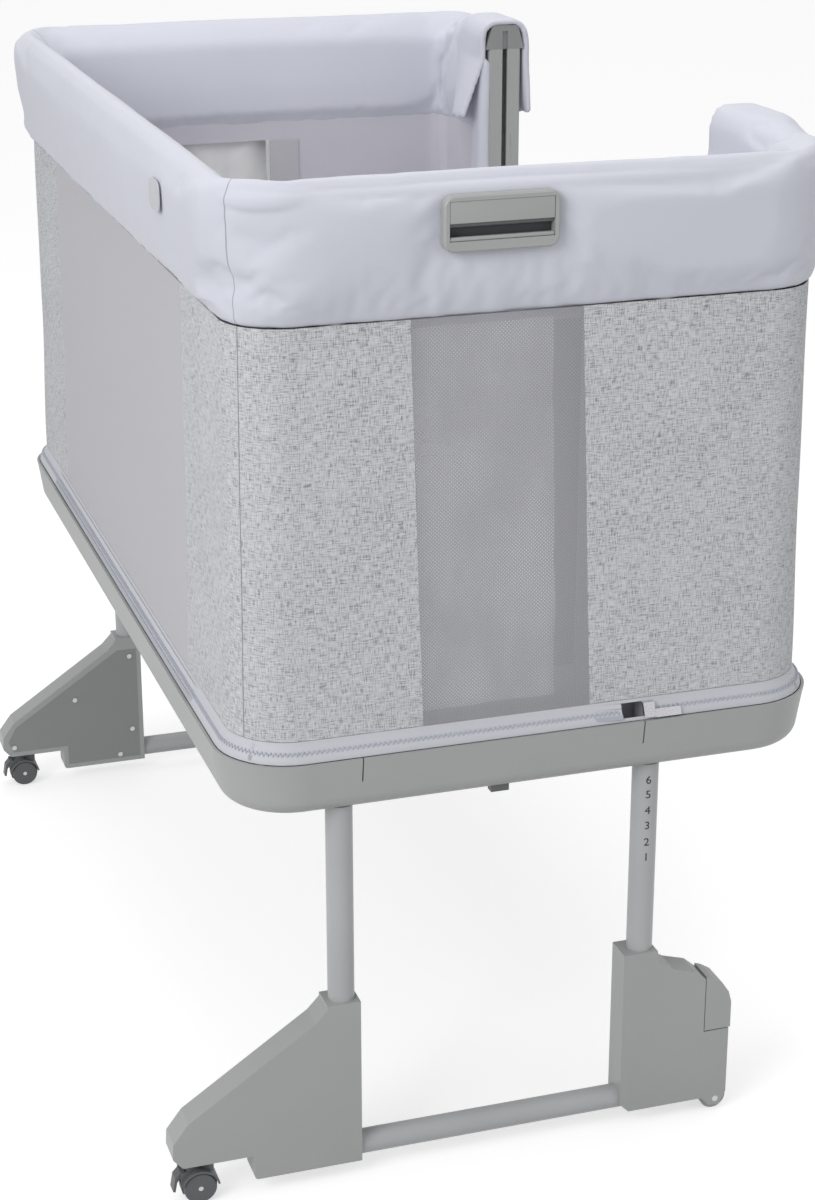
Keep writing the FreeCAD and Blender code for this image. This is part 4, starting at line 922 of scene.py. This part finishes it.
class CRIB_OT_rim(bpy.types.Operator):
    """Sew and fill the padded rim and leave a seat in it for each handle"""

    bl_idname = "crib.rim"
    bl_label = "Fill the rim"

    def execute(self, context):
        sizes = context.scene.crib_sizes
        rim = wall("rim_cloth", ((0, 0), (1, 0)), (), 2 * (len(RIM_SECTION) - 1))
        for point in rim.data.vertices:
            hub, _, way = outline_frame(*point.co.xy)
            height, inset = on_section(point.co.z)
            flat = hub + way * (TRAY_CORNER - inset)
            point.co = (flat.x, flat.y, height)
        outward(rim)
        slice_at(rim, 1, [-GUIDE_BACK, GUIDE_BACK])
        drop(rim, lambda middle: middle.x > BED_SIDE and abs(middle.y) < GUIDE_BACK)
        pick(rim, "EDGE", lambda edge: len(edge.link_faces) == 1)
        bpy.ops.mesh.fill_holes(sides=0)
        outward(rim)
        self.handle_seats(rim)

        def held(place):
            at_guide = place.x > BED_SIDE and abs(place.y) < GUIDE_BACK + 0.006
            return place.z < 1.069 or near_handle(place, 0.006) or at_guide

        filled(rim, sizes.rim_voxel, sizes.puff, 0.009, 0.012, held)
        finish_with(rim, "SUBSURF", levels=1, render_levels=1)
        pucker_rim(rim)
        clear_of_tube(rim)
        wrap_map(rim)
        smooth(rim, 80)
        placed(rim, BODY, finish("rim"), "rim_cloth", "rim_padding")
        return {"FINISHED"}

    def handle_seats(self, rim):
        """Cut the recess that each handle's frame sits in."""
        lap, back, beyond = 0.002, 0.6475, 0.70
        for sign in (-1, 1):
            depth = sorted((sign * back, sign * beyond))
            seat = cube("handle_seat", (HANDLE_LOW[0] + lap, depth[0], HANDLE_LOW[2] + lap),
                        (HANDLE_HIGH[0] - lap, depth[1], HANDLE_HIGH[2] - lap))
            finish_with(rim, "BOOLEAN", object=seat, operation="DIFFERENCE", solver="EXACT")
            bpy.data.objects.remove(seat)


# ---------------------------------------------------------------- the padded heads over the guide posts

# How far along Y a hood starts and ends, and its section's X and Z at its back and at its open face.
HOOD_BACK, HOOD_FACE = 0.560, 0.4015
HOOD_TOP_IN, HOOD_TOP_OUT = (0.352, 0.336), (0.403, 0.4135)
HOOD_FOOT_IN, HOOD_FOOT_OUT = (0.352, 0.303), (0.403, 0.4170)
HOOD_CROWN, HOOD_SPRING = (1.2150, 1.2300), 1.176
HOOD_FOOT, HOOD_FOOT_RISE = 1.068, 0.022
HOOD_LEG = 0.28  # the share of the way over that each leg of the section takes
HOOD_SQUARENESS = 0.55


def hood_place(share, depth):
    """A point over a guide post's head: share goes round from outside to inside, depth from back to face."""
    grow, flare = min(1.0, depth * 2.2), min(1.0, depth * 1.3)
    top_in, top_out = mixed(*HOOD_TOP_IN, grow), mixed(*HOOD_TOP_OUT, grow)
    foot_in, foot_out = mixed(*HOOD_FOOT_IN, flare), mixed(*HOOD_FOOT_OUT, grow)
    foot, crown = HOOD_FOOT + HOOD_FOOT_RISE * depth, mixed(*HOOD_CROWN, grow)
    if share < HOOD_LEG:
        climb = share / HOOD_LEG
        return mixed(foot_out, top_out, climb ** 0.8), mixed(foot, HOOD_SPRING, climb)
    if share > 1 - HOOD_LEG:
        climb = (1 - share) / HOOD_LEG
        return mixed(foot_in, top_in, climb), mixed(foot, HOOD_SPRING, climb)
    turn = math.pi * (share - HOOD_LEG) / (1 - 2 * HOOD_LEG)
    across = math.copysign(abs(math.cos(turn)) ** HOOD_SQUARENESS, math.cos(turn))
    middle, half = (top_out + top_in) / 2, (top_out - top_in) / 2
    rise = max(0.0, math.sin(turn)) ** HOOD_SQUARENESS
    return middle + half * across, HOOD_SPRING + (crown - HOOD_SPRING) * rise


class CRIB_OT_hoods(bpy.types.Operator):
    """Fold the rim's padded ends over the heads of the guide posts"""

    bl_idname = "crib.hoods"
    bl_label = "Fold the rim's ends"

    def execute(self, context):
        for end, sign in (("near", -1), ("far", 1)):
            hood = grid(end + "_rim_head", 48, 14)
            for point in hood.data.vertices:
                share, depth = point.co.x + 0.5, point.co.y + 0.5
                across, rise = hood_place(share, depth)
                point.co = (across, sign * (HOOD_BACK - depth * (HOOD_BACK - HOOD_FACE)), rise)
            outward(hood)
            crown = HOOD_CROWN[1] - 0.01
            if pick(hood, "FACE", lambda face: face.normal.z < 0 and face.calc_center_median().z > crown):
                bpy.ops.mesh.select_all(action="SELECT")
                bpy.ops.mesh.flip_normals()
            fresh()
            finish_with(hood, "SOLIDIFY", thickness=0.0075, offset=-1)
            filled(hood, 0.0045, 3.0, 0.0022)
            for point in hood.data.vertices:
                fold = noise.noise(Vector((point.co.x * 26, point.co.y * 18, point.co.z * 12)))
                point.co.z += 0.0012 * fold
                point.co.x += 0.0009 * fold
            wrap_map(hood)
            smooth(hood, 80)
            placed(hood, BODY, finish("rim"), "rim_cloth")
            self.guide_pad(end, sign)
        return {"FINISHED"}

    def guide_pad(self, end, sign):
        """The padded strip that covers the guide post's inner edge, cut on the slant under the hood."""
        faces = sorted((sign * 0.4030, sign * 0.4420))
        left, right, low, high = 0.321, 0.3535, 0.640, 1.184
        strip = cube(end + "_guide_pad", (left, faces[0], low), (right, faces[1], high))
        for point in strip.data.vertices:
            if point.co.z > (low + high) / 2:
                on_left = point.co.x < (left + right) / 2
                point.co.x += 0.018 if on_left else 0.0
                point.co.z -= 0.004 if on_left else 0.018
        finish_with(strip, "BEVEL", width=0.0085, segments=5)
        slice_at(strip, 2, span(0.650, 1.160, 60))
        for point in strip.data.vertices:
            fold = noise.noise(Vector((point.co.x * 30, point.co.y * 30, point.co.z * 16)))
            point.co.x += 0.0016 * fold
            point.co.y -= sign * 0.0006 * fold
        wrap_map(strip)
        smooth(strip, 80)
        placed(strip, BODY, finish("rim"), "rim_cloth")


# ---------------------------------------------------------------- inside: lining, loose cloth, mattress

LINING = 0.0600


class CRIB_OT_lining(bpy.types.Operator):
    """Hang the smooth inner wall with its bound windows and the loose cloth behind the end mesh"""

    bl_idname = "crib.lining"
    bl_label = "Hang the lining"

    def execute(self, context):
        low, high, sill, head = 0.531, 1.070, 0.620, 1.036
        side = SIDE_MESH - 0.010
        edges = (-0.090, 0.102)
        lining = wall("lining_walls", ((low, LINING), (high, LINING)),
                      [(0, edges[0]), (0, edges[1]), (2, sill), (2, head), (1, -side), (1, side),
                       (1, -CLOTH_END), (1, CLOTH_END)], 12)
        slice_at(lining, 1, span(NEAR, FAR, 44))
        slice_at(lining, 0, span(LEFT, RIGHT, 26))

        def is_gap(middle):
            if middle.x > BED_SIDE and abs(middle.y) < CLOTH_END:
                return True
            if not sill < middle.z < head:
                return False
            if abs(middle.y) > END_WALL:
                return edges[0] < middle.x < edges[1]
            return middle.x < 0 and abs(middle.y) < side

        drop(lining, is_gap)
        outward_faces(lining)
        for point in lining.data.vertices:
            way = outline_frame(*point.co.xy)[2]
            edge = any(abs(point.co.z - place) < 0.002 for place in (sill, head))
            fold = 0.0 if edge else ripple(girth(*point.co.xy), point.co.z, 0.55) * 0.0022
            nudge(point, way, -(fold + 0.002))
        finish_with(lining, "SUBSURF", subdivision_type="SIMPLE", levels=1, render_levels=1)
        finish_with(lining, "SOLIDIFY", thickness=0.0018, offset=1)
        wrap_map(lining)
        smooth(lining, 50)
        placed(lining, BODY, finish("lining"), "lining_cloth", "inner_lining")
        for end, sign in (("near", -1), ("far", 1)):
            self.loose_cloth(end, sign)
            self.window_binding(end, sign, edges, sill, head)
        return {"FINISHED"}

    def loose_cloth(self, end, sign):
        """A thin pale cloth that hangs crumpled between the mesh and the window behind it."""
        left, right, low, high = -0.098, 0.067, 0.596, 1.045
        hangs_at, fold_starts, fold_slope = 0.6255, 0.93, 0.45
        flap = grid(end + "_loose_cloth", 44, 90)
        for point in flap.data.vertices:
            across = mixed(left, right, point.co.x + 0.5)
            rise = mixed(low, high, point.co.y + 0.5)
            crumple = noise.noise(Vector((across * 22, rise * 13, 2.0 + sign)))
            crease = abs(noise.noise(Vector((across * 9 + rise * 7, rise * 5 - across * 11, 5.0))))
            lean = 0.012 * (rise - low) / (high - low)
            fold = fold_starts - fold_slope * (across - left)
            tucked = 0.007 / (1 + math.exp((fold - rise) / 0.003))
            place = hangs_at + 0.0045 * crumple + 0.013 * (crease - 0.2) - tucked
            point.co = (across - lean * 0.6, sign * place, rise)
        finish_with(flap, "SOLIDIFY", thickness=0.0006, offset=0)
        smooth(flap, 60)
        placed(flap, BODY, finish("flap"), "flap_cloth", end + "_window_flap")

    def window_binding(self, end, sign, edges, sill, head):
        """Tape sewn round the window's edge, wider where the net is folded over it."""
        lap, folded, thickness = 0.004, 0.042, 0.0045
        face = sign * (FAR - LINING - 0.0055)
        strips = ((edges[0] - lap, edges[0] + lap, sill, head),
                  (edges[1] - folded, edges[1] + lap, sill, head),
                  (edges[0] - lap, edges[1] + lap, sill - lap, sill + lap))
        for number, (left, right, low, high) in enumerate(strips, 1):
            reach = sorted((face, face + sign * thickness))
            strip = cube(f"{end}_window_binding_{number}", (left, reach[0], low),
                         (right, reach[1], high))
            finish_with(strip, "BEVEL", width=0.0012, segments=2)
            smooth(strip)
            placed(strip, BODY, finish("side"), "side_mesh")


class CRIB_OT_mattress(bpy.types.Operator):
    """Fill the mattress and quilt its top"""

    bl_idname = "crib.mattress"
    bl_label = "Fill the mattress"

    def execute(self, context):
        low, high = (Vector(corner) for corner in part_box("mattress"))
        pad = cube("mattress_pad", low + Vector((0.003, 0.003, 0.001)), high - Vector((0.003, 0.003, 0.008)))
        finish_with(pad, "BEVEL", width=0.014, segments=4)
        filled(pad, 0.015, 4.0, 0.007, 0.0, lambda place: place.z < low.z + 0.006)
        finish_with(pad, "SUBSURF", levels=1, render_levels=1)
        stitching = 52
        for point in pad.data.vertices:
            if point.co.z > high.z - 0.02:
                quilt = abs(math.sin(point.co.x * stitching)) * abs(math.sin(point.co.y * stitching))
                point.co.z += 0.0016 * (quilt - 0.5) + 0.0012 * noise.noise(point.co * 14)
        smooth(pad, 60)
        placed(pad, BODY, finish("ticking"), "mattress_cloth", "mattress")
        return {"FINISHED"}


# ---------------------------------------------------------------- the zip round the tray

# The band's two heights with their insets, and the stretch at the near end that the slider leaves bare.
BAND = ((0.5626, 0.0046), (0.5855, 0.0158))
ZIP_GAP = (0.143, 0.170)
LIP_END = OPENING + 0.028
TEETH_END = OPENING + 0.030
TOOTH_STEP, TOOTH_ROW, TOOTH_STAGGER = 0.0030, 0.5735, 0.0009


class CRIB_OT_zip(bpy.types.Operator):
    """Lay the zip's band on the tray and set its teeth"""

    bl_idname = "crib.zip"
    bl_label = "Set the zip"

    def execute(self, context):
        band = wall("zip_band", BAND, [(0, ZIP_GAP[0]), (0, ZIP_GAP[1]), (1, -CLOTH_END),
                                       (1, CLOTH_END)], 6)
        drop(band, lambda middle: middle.x > BED_SIDE and abs(middle.y) < CLOTH_END)
        drop(band, lambda middle: self.in_gap(middle) and 0.566 < middle.z < 0.5822)
        outward_faces(band)
        finish_with(band, "SOLIDIFY", thickness=0.0016, offset=-1)
        wrap_map(band)
        smooth(band, 50)
        placed(band, BODY, finish("tape"), "zip_cloth", "zip_tape")
        self.teeth()
        self.lips()
        return {"FINISHED"}

    def in_gap(self, place):
        """Whether a point is on the stretch that the slider leaves bare."""
        return ZIP_GAP[0] < place.x < ZIP_GAP[1] and place.y < -END_WALL

    def teeth(self):
        """One tooth, copied round the crib in two rows that mesh."""
        tooth = cube("zip_teeth", (-0.0009, -0.0008, -0.0016), (0.0009, 0.0008, 0.0016))
        finish_with(tooth, "BEVEL", width=0.0004, segments=1)
        pattern = [point.co.copy() for point in tooth.data.vertices]
        faces = [tuple(face.vertices) for face in tooth.data.polygons]
        places, shapes = [], []
        walk, number = TEETH_END, 0
        while walk < ROUND - TEETH_END:
            spot, way = self.on_outline(walk)
            rise = TOOTH_ROW + (TOOTH_STAGGER if number % 2 else -TOOTH_STAGGER)
            reach = TRAY_CORNER - level(rise, BAND) + 0.0008
            along = Vector((-way.y, way.x))
            if not (spot.y < -END_WALL and ZIP_GAP[0] - 0.002 < spot.x < ZIP_GAP[1] + 0.018):
                first = len(places)
                for corner in pattern:
                    flat = spot + way * (reach + corner.y) + along * corner.x
                    places.append((flat.x, flat.y, rise + corner.z))
                shapes.extend(tuple(first + v for v in face) for face in faces)
            walk += TOOTH_STEP
            number += 1
        tooth.data.clear_geometry()
        tooth.data.from_pydata(places, [], shapes)
        tooth.data.update()
        outward(tooth)
        placed(tooth, BODY, finish("teeth"), "zip_cloth")

    def on_outline(self, walk):
        """The hub and outward direction at a distance walked round from mid bed side, near way first."""
        half = LONG_SIDE / 2
        low, high = LEFT + TRAY_CORNER, RIGHT - TRAY_CORNER
        legs = (
            (half, lambda t: (Vector((high, -t)), Vector((1, 0)))),
            (QUARTER, lambda t: (Vector((high, -half)), self.turned(0, t))),
            (SHORT_SIDE, lambda t: (Vector((high - t, -half)), Vector((0, -1)))),
            (QUARTER, lambda t: (Vector((low, -half)), self.turned(-90, t))),
            (2 * half, lambda t: (Vector((low, -half + t)), Vector((-1, 0)))),
            (QUARTER, lambda t: (Vector((low, half)), self.turned(180, t))),
            (SHORT_SIDE, lambda t: (Vector((low + t, half)), Vector((0, 1)))),
            (QUARTER, lambda t: (Vector((high, half)), self.turned(90, t))),
            (half, lambda t: (Vector((high, half - t)), Vector((1, 0)))),
        )
        for length, place in legs:
            if walk <= length:
                return place(walk)
            walk -= length
        return legs[-1][1](half)

    def turned(self, start, travelled):
        """The outward direction on a corner, turned clockwise from its start in degrees."""
        turn = math.radians(start) - travelled / TRAY_CORNER
        return Vector((math.cos(turn), math.sin(turn)))

    def lips(self):
        """Woven edges of the tape above and below the teeth."""
        proud = 0.0006
        for name, low, high, colour in (("zip_upper_edge", 0.5770, 0.5812, "tape"),
                                        ("zip_lower_edge", 0.5655, 0.5700, "zipline")):
            insets = [(height, level(height, BAND) - proud) for height in (low, high)]
            edge = wall(name, insets, [(0, ZIP_GAP[0]), (0, ZIP_GAP[1]), (1, -LIP_END), (1, LIP_END)], 2)
            drop(edge, lambda middle: self.in_gap(middle)
                 or (middle.x > BED_SIDE and abs(middle.y) < LIP_END))
            outward_faces(edge)
            finish_with(edge, "SOLIDIFY", thickness=0.0012, offset=1)
            wrap_map(edge)
            smooth(edge, 50)
            placed(edge, BODY, finish(colour), "zip_cloth")


# ---------------------------------------------------------------- the lowered drop side

class CRIB_OT_drop_side(bpy.types.Operator):
    """Fill the drop side's sleeve and gather its mesh in the tray"""

    bl_idname = "crib.drop_side"
    bl_label = "Dress the drop side"

    def execute(self, context):
        low, high = (Vector(corner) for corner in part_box("drop_side_cover"))
        sleeve = cube("drop_side_sleeve", low + Vector((0.002, 0, 0.002)), high - Vector((0.002, 0, 0.002)))
        pick(sleeve, "EDGE", lambda edge: abs(edge.verts[0].co.y - edge.verts[1].co.y) > 0.1)
        bpy.ops.mesh.bevel(offset=0.012, segments=4, affect="EDGES")
        fresh()
        filled(sleeve, 0.005, 3.5, 0.003, 0.01)
        for point in sleeve.data.vertices:
            fold = noise.noise(Vector((point.co.y * 40, point.co.z * 10, 3.0)))
            point.co.z += 0.0010 * fold
            point.co.x += 0.0010 * fold
        smooth(sleeve, 70)
        placed(sleeve, "drop_side", finish("sleeve"), "rim_cloth", "drop_side_cover")

        low, high = (Vector(corner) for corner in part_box("bed_side_panel"))
        panel = grid("bed_side_net", 160, 36)
        middle = (low.x + high.x) / 2
        for point in panel.data.vertices:
            walk = mixed(low.y, high.y, point.co.x + 0.5)
            rise = mixed(low.z, high.z, point.co.y + 0.5)
            fold = math.sin((rise - low.z) * 420) * 0.0035
            crumple = noise.noise(Vector((walk * 16, rise * 40, 6.0))) * 0.0025
            point.co = (middle + fold + crumple, walk, rise)
        finish_with(panel, "SOLIDIFY", thickness=0.0008, offset=0)
        smooth(panel, 60)
        panel.data.materials.append(finish("sleeve_net"))
        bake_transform(panel)
        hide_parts("bed_side_panel")
        return {"FINISHED"}


# ---------------------------------------------------------------- small things

DIGIT_HEIGHTS = {"6": 0.474, "5": 0.455, "4": 0.434, "3": 0.414, "2": 0.392, "1": 0.372}
DIGIT_SIZE, DIGIT_THICKNESS = 0.0145, 0.0003
TAG_MIDDLE, TAG_SIZE = (-0.400, 1.163), (0.050, 0.036)


class CRIB_OT_details(bpy.types.Operator):
    """Print the height marks, sew on the plain tag and set the handles' face plates, with painted shadow in
    their slots
    """

    bl_idname = "crib.details"
    bl_label = "Add the details"

    def execute(self, context):
        low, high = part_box("near_post_right")
        across, middle, radius = (low[0] + high[0]) / 2, (low[1] + high[1]) / 2, (high[0] - low[0]) / 2
        for figure, rise in DIGIT_HEIGHTS.items():
            fresh()
            bpy.ops.object.text_add(location=(across - 0.002, low[1] - 0.0002, rise - 0.0045),
                                    rotation=(math.pi / 2, 0, 0))
            mark = context.object
            mark.data.body = figure
            mark.data.size = DIGIT_SIZE
            mark.data.extrude = DIGIT_THICKNESS
            mark.data.align_x = "CENTER"
            bpy.ops.object.convert(target="MESH")
            mark = named("height_mark_" + figure)
            slice_at(mark, 0, span(across - 0.008, across + 0.004, 24))
            for point in mark.data.vertices:
                proud = (low[1] - point.co.y) / 2
                away = point.co.x - across
                point.co.y = middle - math.sqrt((radius + proud) ** 2 - away ** 2)
            placed(mark, "near_leg", finish("digits"), "tube_paint")
        self.tag()
        for end, sign in (("near", -1), ("far", 1)):
            self.handle_face(end, sign)
        return {"FINISHED"}

    def handle_face(self, end, sign):
        """The plate over the grip, and a dark sheet of painted shadow at the back of the slot that fingers
        reach into.
        """
        low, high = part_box(end + "_handle_bezel")
        front = high[1] if sign > 0 else low[1]
        frame_width = 0.0062
        left, right = low[0] + frame_width, high[0] - frame_width
        for name, bottom, top, depths, colour in (
                ("_handle_face", low[2] + 0.0310, high[2] - 0.0061, (0.0004, 0.0032), "plastic"),
                # Painted shadow: a dark sheet just in front of the bezel's back wall, where the slot is in
                # shade.
                ("_painted_slot_shadow", low[2] + 0.0122, low[2] + 0.0420, (0.0121, 0.0127), "shadow"),
                ("_handle_lip", low[2] + 0.0122, low[2] + 0.0165, (0.0010, 0.0060), "plastic")):
            reach = sorted(front - sign * depth for depth in depths)
            plate = cube(end + name, (left, reach[0], bottom), (right, reach[1], top))
            if name != "_painted_slot_shadow":
                finish_with(plate, "BEVEL", width=0.0011, segments=3)
                smooth(plate)
            placed(plate, BODY, finish(colour), "tray_plastic")

    def tag(self):
        """A small blank tag with rounded corners and edges, on the rim's closed side."""
        face = LEFT + RIM_SECTION[3][1] - 0.0105
        fresh()
        bpy.ops.mesh.primitive_cylinder_add(vertices=40, radius=0.5, depth=0.0022, location=(0, 0, 0))
        tag = named("rim_tag")
        for point in tag.data.vertices:
            places = [middle + (abs(around) * 2) ** 0.55 * math.copysign(0.5, around) * size
                      for around, middle, size in zip(point.co.xy, TAG_MIDDLE, TAG_SIZE)]
            point.co = (face - point.co.z, *places)
        finish_with(tag, "BEVEL", width=0.0008, segments=2)
        outward(tag)
        smooth(tag, 50)
        placed(tag, BODY, finish("tag"), "rim_cloth")


class CRIB_PT_panel(bpy.types.Panel):
    """The crib's dressing, step by step"""

    bl_idname = "CRIB_PT_panel"
    bl_label = "Crib"
    bl_space_type = "VIEW_3D"
    bl_region_type = "UI"
    bl_category = "Crib"

    def draw(self, context):
        layout = self.layout
        for settings in (context.scene.crib_sizes, context.scene.crib_colours):
            box = layout.box()
            for name in settings.__annotations__:
                box.prop(settings, name)
        for step in STEPS:
            layout.operator(step.bl_idname)


STEPS = (CRIB_OT_stage, CRIB_OT_hardware, CRIB_OT_walls, CRIB_OT_rim, CRIB_OT_hoods, CRIB_OT_lining,
         CRIB_OT_mattress, CRIB_OT_zip, CRIB_OT_drop_side, CRIB_OT_details)
CLASSES = (CribColours, CribSizes, *STEPS, CRIB_PT_panel)


def register():
    """Register the classes and hang their settings on the scene."""
    for made in CLASSES:
        bpy.utils.register_class(made)
    bpy.types.Scene.crib_colours = bpy.props.PointerProperty(type=CribColours)
    bpy.types.Scene.crib_sizes = bpy.props.PointerProperty(type=CribSizes)


def unregister():
    """Undo register."""
    del bpy.types.Scene.crib_sizes
    del bpy.types.Scene.crib_colours
    for made in reversed(CLASSES):
        bpy.utils.unregister_class(made)


def main():
    """Dress the crib, one operator after another."""
    register()
    for step in STEPS:
        getattr(bpy.ops.crib, step.bl_idname.split(".")[1])()


if __name__ == "__main__":
    main()
